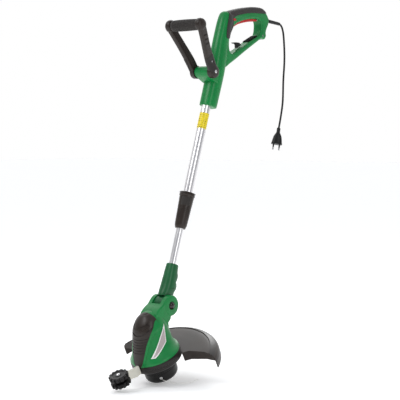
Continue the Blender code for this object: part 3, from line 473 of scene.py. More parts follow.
def from_curve(curve):
    """The mesh of a curve, its caps welded on."""
    mesh = settled(new_object("curve", curve))
    bpy.data.curves.remove(curve)
    work = bmesh.new()
    work.from_mesh(mesh)
    return tidy(work, "curve")


def slab(outlines, half, rounding=0.0, grow=0.0, segments=5, turn=SIDE_ON, place=WORLD):
    """Flat outlines in millimetres, the later ones holes, extruded both ways with rounded edges."""
    curve = bpy.data.curves.new("outline", "CURVE")
    curve.dimensions, curve.fill_mode = "2D", "BOTH"
    for outline in outlines:
        spline = curve.splines.new("POLY")
        spline.points.add(len(outline) - 1)
        for point, (x, y) in zip(spline.points, outline):
            point.co = (x * MM, y * MM, 0, 1)
        spline.use_cyclic_u = True
    curve.extrude = (half - rounding) * MM
    curve.bevel_depth, curve.bevel_resolution = rounding * MM, segments - 1
    curve.offset = (grow - rounding) * MM
    mesh = from_curve(curve)
    mesh.transform(place @ turn)
    return mesh


def block(low, high, place=WORLD, turn=WORLD):
    """A box from its lowest to its highest corner, in millimetres."""
    work = bmesh.new()
    bmesh.ops.create_cube(work, size=1)
    for vert in work.verts:
        vert.co = Vector([(low[i] + (vert.co[i] + 0.5) * (high[i] - low[i])) * MM for i in range(3)])
    mesh = tidy(work, "block")
    mesh.transform(place @ turn)
    return mesh


def carved(mesh, tools, operation="DIFFERENCE"):
    """The mesh with the tools cut away, joined on, or kept in common with it."""
    work, *cutters = [new_object("carving", m) for m in (mesh, *tools)]
    for cutter in cutters:
        step = work.modifiers.new("carve", "BOOLEAN")
        step.operation, step.solver, step.object = operation, "EXACT", cutter
    return settled(work, *cutters)


def joined(*meshes):
    return carved(meshes[0], meshes[1:], "UNION")


def common(*meshes):
    return carved(meshes[0], meshes[1:], "INTERSECT")


def eased(mesh, width, segments):
    """The mesh with its sharp edges rounded."""
    holder = new_object("easing", mesh)
    step = holder.modifiers.new("ease", "BEVEL")
    step.width, step.segments = width * MM, segments
    step.limit_method, step.angle_limit = "ANGLE", math.radians(30)
    return settled(holder)


def dressed(mesh, finish):
    """Gives the mesh one finish, smooth but for its real edges."""
    mesh.materials.clear()
    mesh.materials.append(finish)
    mesh.shade_smooth()
    mesh.set_sharp_from_angle(angle=CREASE)


def shown(name, data, body, stands_for):
    """A finished piece, riding on its body and standing for its nodes."""
    made = new_object(name, data)
    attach(made, body)
    if stands_for:
        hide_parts(*stands_for)
    return made


def piece(name, mesh, finish, body, *stands_for):
    """Finishes a mesh and shows it as one named piece."""
    mesh.name = name
    for face in mesh.polygons:
        face.material_index = 0
    dressed(mesh, finish)
    shown(name, mesh, body, stands_for)


SIDES = ((1, "left"), (-1, "right"))
SEAM = 0.15                            # half the fine gap where two moulded halves meet


def side_of(side, place=WORLD):
    """All of one side of the mirror plane, short of the seam."""
    low, high = sorted((side * SEAM, side * 260))
    return block((low, -620, -1250), (high, 620, 620), place)


# ---- cords --------------------------------------------------------------------------------------------
# (Y, Z) in millimetres, in the mirror plane, from the end of the strain relief to the plug.
CORD_ROUTE = [(171.3, -13.5), (176.2, -14.9), (181.2, -18.2), (185.9, -23.6), (189.9, -31), (193.1, -41),
              (195.5, -54), (197.4, -70), (199.3, -92), (200.1, -115), (199.5, -136), (197.8, -156),
              (195.6, -177), (194, -199), (193.3, -224), (192.4, -248), (190.6, -265), (187.6, -281),
              (183.6, -298), (178.9, -316), (174.8, -330), (170.9, -342.9)]
# (X, Y) in millimetres in the head frame, level with the eyelets.
LINE_ROUTE = [(29.9, -130.6), (34.3, -135.6), (40.5, -139), (53.8, -141.4), (73.7, -143.4), (95.4, -144),
              (117, -141.6), (134, -135.2), (146, -125), (153.6, -111)]


def cord_object(name, points, diameter, finish, body, *stands_for):
    """A round cord along points in metres."""
    curve = bpy.data.curves.new(name, "CURVE")
    curve.dimensions = "3D"
    spline = curve.splines.new("POLY")
    spline.points.add(len(points) - 1)
    for point, place in zip(spline.points, points):
        point.co = (*place, 1)
    spline.use_smooth = True
    curve.bevel_depth, curve.bevel_resolution, curve.use_fill_caps = diameter / 2, 5, True
    curve.materials.append(finish)
    return shown(name, curve, body, stands_for)


def build_cords():
    """The mains lead, whole down to its plug, and the free end of the cutting line."""
    lead = smooth_line([Vector((0, y, z)) * MM for y, z in CORD_ROUTE], 4)
    made = cord_object("mains_lead", lead, 6.2 * MM, PVC, "main_handle", "power_cord")
    flat = [HEAD @ (Vector((x, y, SPOOL.z)) * MM) for x, y in LINE_ROUTE]
    line = smooth_line(flat, 5)
    made = cord_object("trimmer_line", line, 1.6 * MM, NYLON, "spool", "cutting_line")


PLUG_TOP, PLUG_FACE = Vector((0, 170.8, -343.3)), Vector((0, 158.8, -395.6))
PLUG_TURN = math.radians(40)
PLUG_SECTIONS = [(0, 5.4, 5.4), (-3, 5.8, 5.8), (-14, 6, 6), (-19, 8.5, 8), (-27, 12.5, 9.5),
                 (-38, 15, 10.5), (-47, 16.5, 11.5), (-50, 17.5, 12.5), (-53, 17.5, 12.5), (-53.6, 17, 12)]


def build_plug():
    """A moulded two-pin plug with finger grooves and half-sleeved pins."""
    down = (PLUG_FACE - PLUG_TOP).normalized()
    turn = Vector((0, 0, -1)).rotation_difference(down).to_matrix() @ Matrix.Rotation(PLUG_TURN, 3, "Z")
    place = moved(PLUG_TOP) @ turn.to_4x4()
    rows = smooth_line(PLUG_SECTIONS, 4)
    body = lofted([oval(z, a, -b, b, 2.4, 56) for z, a, b in rows], place)
    grooves = [block((-20, -20, z - 0.6), (20, -10.2, z + 0.6), place) for z in (-30, -34, -38, -42)]
    grooves += [block((-20, 10.2, z - 0.6), (20, 20, z + 0.6), place) for z in (-30, -34, -38, -42)]
    sleeves = [rod(2.45, -52, -63, place, (x, 0, 0), steps=24) for x in (-9.5, 9.5)]
    body = carved(joined(carved(body, grooves), *sleeves),
                  [rod(2.1, -62.6, -66, place, (x, 0, 0), steps=24) for x in (-9.5, 9.5)])
    piece("plug_shell", body, PVC, "main_handle", "plug_body")
    for name in ("plug_pin_left", "plug_pin_right"):
        dressed(NODES[name].data, BRIGHT)


def build_lead_sleeve():
    """The tapered sleeve that keeps the lead from kinking, with bands moulded round it."""
    path = smooth_line([(0, 112.8, -8.1), (0, 126, -9.3), (0, 142, -10.6), (0, 157, -11.9),
                        (0, 170.3, -13.3)], 14)
    rings = []
    for i, centre in enumerate(path):
        along = (path[min(i + 1, len(path) - 1)] - path[max(i - 1, 0)]).normalized()
        up = Vector((1, 0, 0)).cross(along)
        share = i / (len(path) - 1)
        radius = 5.9 - 0.9 * share - (0.55 if 0.15 < share < 0.95 and i % 6 in (2, 3) else 0)
        rings.append([centre + radius * (Vector((math.cos(a), 0, 0)) + up * math.sin(a))
                      for a in (2 * math.pi * k / 40 for k in range(40))])
    piece("lead_sleeve", lofted(rings), PVC, "main_handle", "strain_relief")


# ---- rear handle --------------------------------------------------------------------------------------
LOOP_OUTER = [(-110, -22), (-92, 3), (-48, 16), (7, 25.5), (52, 27), (72, 22), (88, 9), (96, -4), (95, -20),
              (86, -36), (82, -47), (83, -58), (75, -68), (60, -67), (30, -82), (-20, -109), (-66, -135),
              (-96, -151), (-124, -165), (-142, -150), (-128, -90)]
LOOP_OPENING = [(-85, -46), (-70, -32), (-45, -21), (-15, -13), (15, -9), (42, -8), (54, -15), (57, -28),
                (53, -50), (42, -60), (5, -77), (-40, -100), (-68, -113), (-84, -119), (-96, -114),
                (-101, -96), (-97, -68)]
COLUMN = [(606, 21, -15, 27), (609, 23.5, -16.5, 31), (613, 24.5, -17, 33), (660, 25, -17, 34),
          (712, 25, -18, 35), (760, 23, -20, 34), (806, 21.5, -22, 28), (846, 21, -22, 26),
          (876, 20, -21, 25), (893, 19, -18, 23), (900, 17, -15, 21.5), (905, 12.5, -10, 18)]
GRIP_HALF, BOSS_HALF, BOSS_R = 17, 25.9, 17
SKIN_REGION = [(-96, 14), (-48, 30), (10, 40), (60, 40), (90, 30), (80, 13), (60, 10.5), (7, 8.5),
               (-45, 0.5), (-78, -10), (-84, -30), (-92, -70), (-118, -76), (-121, -58), (-112, -24),
               (-104, -2)]
HANDLE_SCREWS = (("corner", 1, 66, -57), ("rear", -1, 78, -8))
TRIGGER_AT = in_frame(WORLD, JOINTS["trigger_pull"]["pos_m"])


def side_outline(points, steps=5):
    """A smooth closed outline through the points, as pairs."""
    return [(p.x, p.y) for p in smooth_line(points, steps, closed=True)]


def handle_form(grow=0.0, steps=5):
    """The outside of the handle, grown evenly."""
    loop = slab([side_outline(LOOP_OUTER, steps), side_outline(LOOP_OPENING, steps)], GRIP_HALF + grow,
                6 + grow, grow)
    rows = smooth_line(COLUMN, 3)
    column = [oval(z, a, f, r, 2.4, 56, grow) for z, a, f, r in rows]
    y, z = AUX_PIVOT.y, AUX_PIVOT.z
    radius = BOSS_R + grow
    arch = [(y + radius * math.cos(a), z + radius * math.sin(a))
            for a in (math.radians(d) for d in range(100, 261, 10))]
    boss = slab([arch + [(0, z - radius - 6), (0, z + radius + 4)]], BOSS_HALF, 2.5, place=SHAFT)
    return joined(loop, lofted(column, SHAFT), boss)


def strut_shade_strip(grow=0.0):
    """A matt black strip set in the top of the strut behind the hook, painted shade standing for the dark of
    a slot there, or, grown, the seat cut for it.
    """
    place = moved((0, 20, -70.2)) @ spun(24.8, "X")
    return block((-12 - grow, -23 - grow, -3.6 - grow), (12 + grow, 24 + grow, 11.6 if grow else 2.6), place)


def handle_cuts():
    """The openings that the two halves share."""
    gland = moved((0, 96, -6.6)) @ spun(275, "X")
    return [rod(14.25, 664, 590, SHAFT), block((-8.6, -79, -48), (8.6, 48, -4)),
            rod(6.3, 12, -14, gland, steps=40), rod(3.4, 60, -60, SHAFT, AUX_PIVOT, "X", 32),
            strut_shade_strip(0.15)]


def screw_seat(at, axis, place=WORLD, clear=0.3):
    """The counterbore and pilot hole cut for a case screw."""
    return turned([(0, 2), (3.4 + clear, 2), (3.4 + clear, -2.5), (1.9, -2.5), (1.9, -11.5), (0, -11.5)],
                  place, at, axis, 32)


def cross_screw(name, at, axis, body, node, place=WORLD):
    """A pan-head screw with a cross recess."""
    head = [(0, 0), (1.8, -0.05), (2.9, -0.45), (3.4, -1.2), (3.4, -2.2), (1.6, -2.3), (1.6, -9), (0, -9)]
    mesh = turned(head, place, at, axis, 32)
    depth = (-1.3, 1) if axis == "X" else (-1, 1.3)
    arms = [block((depth[0], -2.1, -0.35), (depth[1], 2.1, 0.35)),
            block((depth[0], -0.35, -2.1), (depth[1], 0.35, 2.1))]
    for arm in arms:
        arm.transform(place @ moved(at))
    piece(name, carved(mesh, arms), ZINC, body, node)


def build_handle():
    """Two glossy shells that meet on a fine seam, their screws, and the soft skin over the grip."""
    form = carved(handle_form(), handle_cuts())
    for side, label in SIDES:
        cuts = [screw_seat((side * (GRIP_HALF - 0.4), y, z), "X" if side > 0 else "-X")
                for _, s, y, z in HANDLE_SCREWS if s == side]
        if side > 0:
            cuts.append(block((10, -85, -21.5), (24, -71, -13.5)))
        shell = carved(common(form.copy(), side_of(side)), cuts)
        piece("handle_half_" + label, shell, GREEN, "main_handle", "handle_shell_" + label)
    for label, side, y, z in HANDLE_SCREWS:
        cross_screw("case_screw_" + label, (side * (GRIP_HALF - 0.4), y, z), "X" if side > 0 else "-X",
                    "main_handle", "handle_screw_" + label)
    # The strip is painted shade: a black piece where the strut shows the dark of a slot.
    piece("strut_slot_shade", eased(strut_shade_strip(), 0.6, 2), SLOT_SHADE_BLACK, "main_handle")
    region = slab([side_outline(SKIN_REGION, 3)], 40)
    skin = common(carved(handle_form(1.7), [handle_form(0.25)]), region)
    skin = carved(skin, [block((10, -85.5, -22), (26, -70.5, -13))])
    piece("grip_skin", skin, RUBBER, "main_handle", "grip_rubber")


def build_trigger():
    """The long curved trigger, and the small lock-off button above its front end."""
    lower = smooth_line([(-77, -42), (-52, -30.5), (-26, -23.5), (8, -17.5), (44, -14)], 7)
    upper = smooth_line([(46, -5), (8, -6), (-40, -14), (-77, -28)], 5)
    mesh = slab([[(p.x, p.y) for p in lower + upper]], 8, 2.4)
    mesh = carved(mesh, [rod(1.8, 20, -20, WORLD, TRIGGER_AT, "X", 24)])
    piece("trigger_lever", mesh, RED, "trigger", "trigger")
    low, high = (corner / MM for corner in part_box("lock_off_button"))
    button = eased(block(low, high), 1.6, 4)
    ridges = [block((high.x - 0.6, low.y + 1.6, z), (high.x + 1, high.y - 1.6, z + 0.7))
              for z in (-19.4, -17.8, -16.2)]
    piece("lock_off_key", carved(button, ridges), RED, "lock_off_button", "lock_off_button")


def build_cable_hook():
    """The T-shaped hook for the loop of an extension lead."""
    outline = [(-66, -84.5), (-64, -88), (-52, -90), (-50, -101), (-40, -96), (-30, -91), (-34, -86.5),
               (-42, -83.5)]
    piece("lead_hook", slab([side_outline(outline, 3)], 5, 0.9, -0.2), BLACK, "main_handle", "cable_hook")


# ---- front handle -------------------------------------------------------------------------------------
ARM_STATIONS = [(-0.02, 34.6, 15), (0.25, 37.5, 15.5), (0.5, 44, 14), (0.75, 52, 13.5), (0.98, 59, 14)]
ARM_HALF, KNUCKLE_R, KNUCKLE_AT = 8.2, 18.5, 60
AUX_ALONG = (AUX_BAR - AUX_PIVOT).normalized()
AUX_ACROSS = Vector((0, AUX_ALONG.z, -AUX_ALONG.y))


def arm_ring(side, station, grow=0.0):
    """A section across one front arm, at its share of the way up."""
    share, x, depth = station
    centre = AUX_PIVOT + (AUX_BAR - AUX_PIVOT) * share
    return [Vector((side * (x + dx), 0, 0)) + centre + AUX_ACROSS * dy
            for dx, dy in superellipse(ARM_HALF + grow, depth + grow, 4, 48)]


def arm_frame(share):
    """A frame on the arms' centre line: Y runs along the arm and Z across it."""
    turn = Matrix((Vector((1, 0, 0)), AUX_ALONG, Vector((1, 0, 0)).cross(AUX_ALONG))).transposed().to_4x4()
    return SHAFT @ moved(AUX_PIVOT + (AUX_BAR - AUX_PIVOT) * share) @ turn


def build_front_handle():
    """Two arms with finger grooves and screwed-on root caps, and a ribbed crossbar between their knuckles."""
    stations = smooth_line(ARM_STATIONS, 6)
    bore = rod(3.4, 60, -60, SHAFT, AUX_PIVOT, "X", 32)
    for side, label in SIDES:
        face = "X" if side > 0 else "-X"
        arm = lofted([arm_ring(side, s) for s in stations], SHAFT)
        knuckle = [(0, 8.6), (9, 8.4), (14, 7), (17, 4), (KNUCKLE_R, 0), (KNUCKLE_R, -8), (17, -10.6),
                   (15, -11.6), (0, -11.6)]
        end = turned(knuckle, SHAFT, AUX_BAR + Vector((side * KNUCKLE_AT, 0, 0)), face, 64)
        foot = turned([(0, 16.9), (15, 16.9), (18.4, 15.2), (19.5, 12.5), (19.5, 0.4), (0, 0.4)], SHAFT,
                      AUX_PIVOT + Vector((side * 26, 0, 0)), face, 64)
        grooves = []
        for share, x in ((0.6, 47.2), (0.69, 50), (0.78, 52.8)):
            low, high = sorted((side * (x + ARM_HALF - 2.6), side * (x + 30)))
            grooves.append(block((low, -2.4, -20), (high, 2.4, 9), arm_frame(share), spun(-16, "X")))
        arm = carved(joined(arm, end, foot), grooves + [bore])
        piece("front_handle_arm_" + label, arm, CHARCOAL, "front_handle", "front_arm_" + label)
        low_part = [s for s in stations if s[0] <= 0.36]
        cap = carved(lofted([arm_ring(side, s, 0.7) for s in low_part], SHAFT), [
            lofted([arm_ring(side, s, 0.02) for s in [Vector((-0.2, *stations[0][1:]))] + low_part
                    + [Vector((0.6, *low_part[-1][1:]))]], SHAFT), bore])
        low, high = sorted((side * 36, side * 80))
        keep = block((low, -300, 0), (high, 300, 2000), SHAFT)
        place = AUX_PIVOT + (AUX_BAR - AUX_PIVOT) * 0.22 + Vector((side * 45.6, 0, 0))
        cap = carved(common(cap, keep), [screw_seat(place, face, SHAFT, 0.5)])
        piece("root_cap_" + label, cap, DARK_CHARCOAL, "front_handle")
        cross_screw("cap_screw_" + label, place + Vector((side * 0.5, 0, 0)), face, "front_handle",
                    "front_arm_screw_" + label, SHAFT)
    build_crossbar()


def build_crossbar():
    """The crossbar's rubber sleeve, with a rib every 4 mm."""
    half, pitch = AUX_GRIP_HALF, 4.0
    profile = [(0, half), (14.6, half)]
    count = int((2 * half - 10) / pitch)
    for k in range(count):
        x = half - 5 - k * pitch
        swell = 1.2 * math.cos(math.pi * x / (2 * half + 12))
        profile += [(15.0 + swell, x), (16.0 + swell, x - 0.8), (16.0 + swell, x - 2.4),
                    (15.0 + swell, x - 3.2)]
    profile += [(14.6, -half), (0, -half)]
    piece("crossbar_sleeve", turned(profile, SHAFT, AUX_BAR, "X", 64), RUBBER, "front_handle", "front_grip")
    bolt = [(0, 46), (3.6, 45.8), (4.8, 45), (5.2, 43.6), (5.2, 43.3), (3, 43.3), (3, -43.3), (5.2, -43.3),
            (5.2, -44.6), (4.8, -45.4), (0, -46)]
    mesh = carved(turned(bolt, SHAFT, AUX_PIVOT, "X", 48),
                  [block((44.6, -3.6, -0.5), (48, 3.6, 0.5), SHAFT @ moved(AUX_PIVOT))])
    piece("swing_bolt", mesh, BRIGHT, "main_handle", "front_handle_bolt")


# ---- tubes, label and clamp ---------------------------------------------------------------------------
def pipe(outer, inner, top, bottom):
    """A tube's section, with its outer edges broken."""
    return [(inner, top), (outer - 0.3, top), (outer, top - 0.3), (outer, bottom + 0.3),
            (outer - 0.3, bottom), (inner, bottom)]


def build_tubes():
    """The two plain tubes of the telescopic shaft."""
    piece("outer_tube", turned(pipe(14, 12.8, 660, 300), SHAFT, steps=96, hoop=True), ALUMINIUM,
          "main_handle", "upper_tube")
    piece("inner_tube", turned(pipe(11, 9.8, 560, 72), SHAFT, steps=96, hoop=True), ALUMINIUM, "lower_shaft",
          "lower_tube")


def build_label():
    """A blank rating label wrapped round the front of the tube."""
    low, high, first, last = 534, 582, math.radians(-125), math.radians(25)
    count, mesh = 40, bmesh.new()
    layer = mesh.loops.layers.uv.new("label")
    rows = []
    for radius in (14.3, 14.55):
        rows.append([[mesh.verts.new(SHAFT @ (Vector((radius * math.cos(a), radius * math.sin(a), z)) * MM))
                      for a in (first + (last - first) * k / count for k in range(count + 1))]
                     for z in (low, high)])
    inner, outer = rows
    for k in range(count):
        faces = [(outer[0][k], outer[0][k + 1], outer[1][k + 1], outer[1][k]),
                 (inner[0][k + 1], inner[0][k], inner[1][k], inner[1][k + 1]),
                 (inner[0][k], inner[0][k + 1], outer[0][k + 1], outer[0][k]),
                 (outer[1][k], outer[1][k + 1], inner[1][k + 1], inner[1][k])]
        for i, corners in enumerate(faces):
            face = mesh.faces.new(corners)
            for loop, (u, v) in zip(face.loops, ((k, 0), (k + 1, 0), (k + 1, 1), (k, 1))):
                loop[layer].uv = (u / count, v) if i == 0 else (0.0, 0.0)
    for k, flip in ((0, False), (count, True)):
        corners = [inner[0][k], outer[0][k], outer[1][k], inner[1][k]]
        mesh.faces.new(corners[::-1] if flip else corners)
    made = bpy.data.meshes.new("rating_label")
    mesh.to_mesh(made)
    mesh.free()
    piece("rating_label", made, LABEL, "main_handle", "tube_label")


def build_clamp():
    """The telescope's twist clamp: a flanged collar with a grip pad on each side, and a tapered nut."""
    collar = [(14.3, 336), (23.4, 336), (24, 335.6), (24, 334.9), (21.5, 332.5), (23, 330.2), (23.2, 329.6),
              (23.2, 327.4), (22.8, 326.6), (21.6, 325), (20, 288.4), (19.6, 288), (14.3, 288)]
    piece("clamp_sleeve", turned(collar, SHAFT, steps=96, hoop=True), CHARCOAL, "main_handle",
          "clamp_collar")
    nut = [(15.8, 287.7), (19.7, 287.7), (20, 287.4), (18.2, 241), (17.6, 237), (15.3, 229.4), (14.6, 228.4),
           (14, 228), (11.5, 228), (11.5, 235.6), (14.4, 235.6), (15.8, 250)]
    mesh = turned(nut, SHAFT, steps=96, hoop=True)
    flutes = [block((18.5, -0.8, 244), (24, 0.8, 284), SHAFT, spun(36 * k, "Z")) for k in range(10)]
    piece("clamp_twist_nut", carved(mesh, flutes), CHARCOAL, "clamp_nut", "clamp_nut")
    for k, angle in enumerate((-50, 130)):
        middle = math.radians(angle)
        rings = []
        for t in range(21):
            a = middle + math.radians(-38 + 76 * t / 20)
            ease = 0.0 if 0 < t < 20 else -0.7
            rings.append([Vector((r * math.cos(a), r * math.sin(a), z))
                          for r, z in ((20.3, 296), (21.6 + ease, 297), (22.6 + ease, 318),
                                       (22.0 + ease, 321), (21.0, 321.6))])
        piece("clamp_pad_%d" % (k + 1), lofted(rings, SHAFT), RUBBER, "main_handle")


# ---- lower socket -------------------------------------------------------------------------------------
SOCKET = [(121, 15.3, -15.3, 15.6), (119.5, 16.2, -16.2, 17.4), (116, 16.7, -16.7, 18.2), (100, 18, -18, 20),
          (94, 18.5, -18.5, 23), (88, 18.8, -18.8, 25), (79, 19.2, -19.2, 24), (71, 19.6, -19.6, 21.5),
          (66, 20, -20, 24.5), (59, 20.4, -20.5, 27), (50, 20.6, -21.5, 26), (42, 20, -22.5, 22),
          (30, 18.5, -24.5, 22), (24, 17, -25, 21)]
EAR_INNER, TONGUE_R, EAR_R = 16, 27, 30


def build_socket():
    """The dark green socket for the inner tube, with two finger bumps and a tongue for the head's fork."""
    form = lofted([oval(z, a, f, r, 2.4, 64) for z, a, f, r in smooth_line(SOCKET, 4)], SHAFT)
    clears = [rod(EAR_R + 0.5, 30 * s, EAR_INNER * s, SHAFT, (0, 0, 0), "X", 96) for s in (1, -1)]
    tongue = turned([(0, 16), (TONGUE_R - 0.8, 16), (TONGUE_R, 15.2), (TONGUE_R, -15.2),
                     (TONGUE_R - 0.8, -16), (0, -16)], SHAFT, (0, 0, 0), "X", 96)
    holes = [rod(11.25, 130, 71.7, SHAFT), rod(5.3, 40, -40, SHAFT, (0, 0, 0), "X", 40)]
    grooves = []
    for z in (35, 42, 49):
        for side in (1, -1):
            low, high = sorted((side * 18.9, side * 24))
            grooves.append(block((low, -17, -0.7), (high, 8, 0.7), SHAFT @ moved((0, 0, z)), spun(24, "X")))
    form = carved(joined(carved(form, clears), tongue), holes + grooves)
    for side, label in SIDES:
        half = common(form.copy(), side_of(side, SHAFT))
        if side < 0:
            half = carved(half, [screw_seat((-19.2, 2, 100), "-X", SHAFT)])
        piece("socket_half_" + label, half, DARK_GREEN, "lower_shaft", "socket_" + label)
    cross_screw("socket_case_screw", (-19.2, 2, 100), "-X", "lower_shaft", "socket_screw", SHAFT)


# ---- head ---------------------------------------------------------------------------------------------
HOUSING = [(21, 6, -84, -66), (20, 12, -91, -63), (17, 18, -97, -60), (10, 27, -108, -52),
           (1, 33, -119, -42), (-12, 38.5, -131, -33), (-38, 43, -142, -27), (-62, 46, -154, -26),
           (-80, 51, -162, -29), (-90, 61, -167, -26), (-97, 70, -169, -21), (-102, 73, -169, -21),
           (-103, 73, -169, -21)]
SHIELD = [(20, 34), (33, 4), (37, -10), (34.5, -22), (31, -34), (27, -46), (24, -60), (21, -74), (14, -96),
          (0, -108)]
INSERT = [(-60, -22), (-71, -44), (-82, -67), (-112, -77), (-140, -86), (-149, -83), (-120, -63), (-92, -42)]
NECK = [(-4, 27), (-30, 22), (-55, 19), (-75, 6), (-75, -45), (-38, -50), (-32, -38), (-14, -27)]


def housing_form(grow=0.0, deeper=0.0):
    """The outside of the motor housing, grown evenly."""
    rows = smooth_line(HOUSING, 3)
    rings = []
    for z, a, f, r in rows:
        power = 2.3 if z > -80 else max(2.0, 2.3 - (-80 - z) * 0.024)
        rings.append(oval(z, a, f, r, power, 72, grow))
    rings[0] = [p + Vector((0, 0, grow)) for p in rings[0]]
    rings[-1] = [p - Vector((0, 0, deeper)) for p in rings[-1]]
    return lofted(rings, HEAD)


def shield_prism(grow=0.0, rear=-75.5):
    """The cover's outline, run through the front of the housing as far back as its rear face."""
    right = smooth_line([Vector(p) for p in SHIELD], 4)
    outline = [(p.x, p.y) for p in right] + [(-p.x, p.y) for p in reversed(right[:-1])]
    half = (rear + 195) / 2
    return slab([outline], half, 0, grow, 1, FACE_ON, HEAD @ moved((0, rear - half, 0)))


def build_housing():
    """The green motor housing with its fork ears, raised edge beside the cover, and rear vents."""
    edge = common(housing_form(1.7), shield_prism(6.5, -77))
    neck = slab([side_outline(NECK, 3)], 31, 4, -0.6, place=HEAD)
    ear = [(0, 32), (25, 32), (28, 31.2), (29.6, 29), (EAR_R, 27), (EAR_R, -27), (29.6, -29), (28, -31.2),
           (25, -32), (0, -32)]
    form = joined(housing_form(), edge, neck, turned(ear, HEAD, (0, 0, 0), "X", 96))
    holes = [housing_form(-2.6, 3), shield_prism(0.3, -75), rod(27.6, 16.3, -16.3, HEAD, (0, 0, 0), "X", 96),
             block((-16.3, -27.6, 0), (16.3, 60, 60), HEAD), rod(5.3, 20.5, -27.5, HEAD, (0, 0, 0), "X", 40),
             turned([(0, 40), (12.6, 40), (12.6, 31), (11.4, 29.8), (11.4, 21.2), (0, 21.2)], HEAD,
                    (0, 0, 0), "X", 72)]
    vents = [block((-16, -40, z), (16, -10, z + 2.6), HEAD) for z in (-52, -58.5, -65, -71.5, -78, -84.5)]
    form = carved(form, holes + vents)
    for side, label in SIDES:
        half = common(form.copy(), side_of(side, HEAD))
        piece("motor_shell_" + label, half, GREEN, "head", "motor_housing_" + label)
    for side, label in SIDES:
        build_insert(side, label)


def build_insert(side, label):
    """A knife-shaped trim plate with a paler edge round it."""
    move = HEAD @ moved((side * 52, 0, 0))
    outline = side_outline(INSERT, 1)
    plate = carved(common(housing_form(1.6), slab([outline], 30, 0, -2.8, place=move)), [housing_form(0.3)])
    piece("trim_plate_" + label, plate, SILVER, "head", "side_insert_" + label)
    border = slab([outline], 30, 0, 0, place=move)
    border = carved(common(housing_form(1.2), border), [housing_form(0.3),
                                                        slab([outline], 40, 0, -2.7, place=move)])
    piece("trim_edge_" + label, border, PALE, "head")


def crescent(low, high, steps=8):
    """A leaf-shaped outline between two curves with shared ends, mirrored half to half."""
    return [(p.x, p.y) for p in smooth_line(low, steps)[:-1] + smooth_line(high[::-1], steps)[:-1]]


def build_cover():
    """The charcoal front cover: a domed top, a deep crease under it, and six ribs across the middle."""
    form = carved(common(housing_form(1.2), shield_prism()), [housing_form(-2.6, 3)])
    skin = carved(housing_form(8), [housing_form(-1.4)])
    crease = crescent([(-52, 14), (-30, 0), (0, -9), (30, 0), (52, 14)],
                      [(-52, 14), (-30, 7), (0, 0), (30, 7), (52, 14)])
    fold = crescent([(-52, 0), (-26, -16), (0, -21), (26, -16), (52, 0)],
                    [(-52, 0), (-26, -12), (0, -16), (26, -12), (52, 0)])
    front = HEAD @ moved((0, -150, 0))
    marks = [common(skin.copy(), slab([outline], 45, 0, 0, 1, FACE_ON, front)) for outline in (crease, fold)]
    shallow = carved(housing_form(8), [housing_form(-0.5)])
    marks += [common(shallow.copy(), block((-40, -200, z), (40, -105, z + 3.2), HEAD))
              for z in range(-66, -25, 7)]
    for mark in marks:
        form = carved(form, [mark])
    piece("motor_cover", form, CHARCOAL, "head", "front_cover")


def build_tilt_button():
    """The polished domed button in the fork's left ear."""
    button = [(0, 37), (2, 36.9), (4, 36.5), (6.5, 35.6), (8.5, 34.2), (10, 32.3), (10.8, 30.3), (11, 28.6),
              (11, 26), (0, 26)]
    piece("tilt_release", turned(button, HEAD, (0, 0, 0), "X", 72), GLOSS_BLACK, "tilt_button",
          "tilt_button")


def build_base():
    """The dark band under the housing, with a groove round it."""
    at = (0, SPOOL.y, 0)
    skirt = [(6, -124), (71.8, -124), (71.8, -103.3), (72.4, -103.3), (73.4, -103.7), (74.6, -106.5),
             (75, -109), (75, -114), (74.4, -114.5), (74.4, -115.6), (75, -116.1), (75, -122),
             (74.5, -124.4), (73, -126.4), (71.5, -127), (6, -127)]
    piece("base_band", turned(skirt, HEAD, at, steps=120, hoop=True), DARK_CHARCOAL, "head", "base_skirt")


GUARD_AT = (-12, SPOOL.y, 0)
GUARD_REGION = [(230, -38), (130, -32), (80, -42), (64, -55), (50, -80), (-50, -80), (-64, -55), (-80, -42),
                (-130, -32), (-250, -38), (-250, 120), (230, 120)]


def guard_plan(grow=0.0):
    """What the guard keeps of its dome, seen from above."""
    return slab([GUARD_REGION], 60, 0, grow, 1, moved((0, 0, -150)), HEAD)


def build_guard():
    """The guard: a shallow dome with a raised border, a deep skirt and a lip along its open edge."""
    def rounded(points):
        return [(max(p.x, 0), p.y) for p in smooth_line(points, 4)]
    outer = [(0, -120.5), (60, -121)] + rounded([(110, -121.5), (150, -125), (170, -130), (182, -137),
                                                 (187, -145), (188, -152)]) + [(188, -172), (0, -172)]
    inner = [(0, -123.5)] + rounded([(109, -124.5), (149, -128), (169, -132.8), (179, -139), (184, -147),
                                     (185, -153)]) + [(185, -175), (0, -175)]
    hollow = common(turned(inner, HEAD, GUARD_AT, steps=144), guard_plan(-3))
    hollow = carved(hollow, [rod(79, -90, -190, HEAD, (0, SPOOL.y, 0))])
    trim = rod(184.6, -150, -190, HEAD, GUARD_AT, steps=144)
    hole = rod(75.9, -90, -190, HEAD, (0, SPOOL.y, 0), steps=96)
    dome = carved(common(turned(outer, HEAD, GUARD_AT, steps=144), guard_plan()), [hollow, trim, hole])
    piece("grass_guard", dome, CHARCOAL, "head", "guard")
    border = turned([(168, -127), (180, -134.2), (186, -142.5), (188.6, -151), (188.6, -154), (187.6, -154),
                     (186, -143.5), (179, -136), (168, -130.5)], HEAD, GUARD_AT, steps=144, hoop=True)
    border = common(border, guard_plan(-0.4))
    piece("guard_border", border, DARK_CHARCOAL, "head")


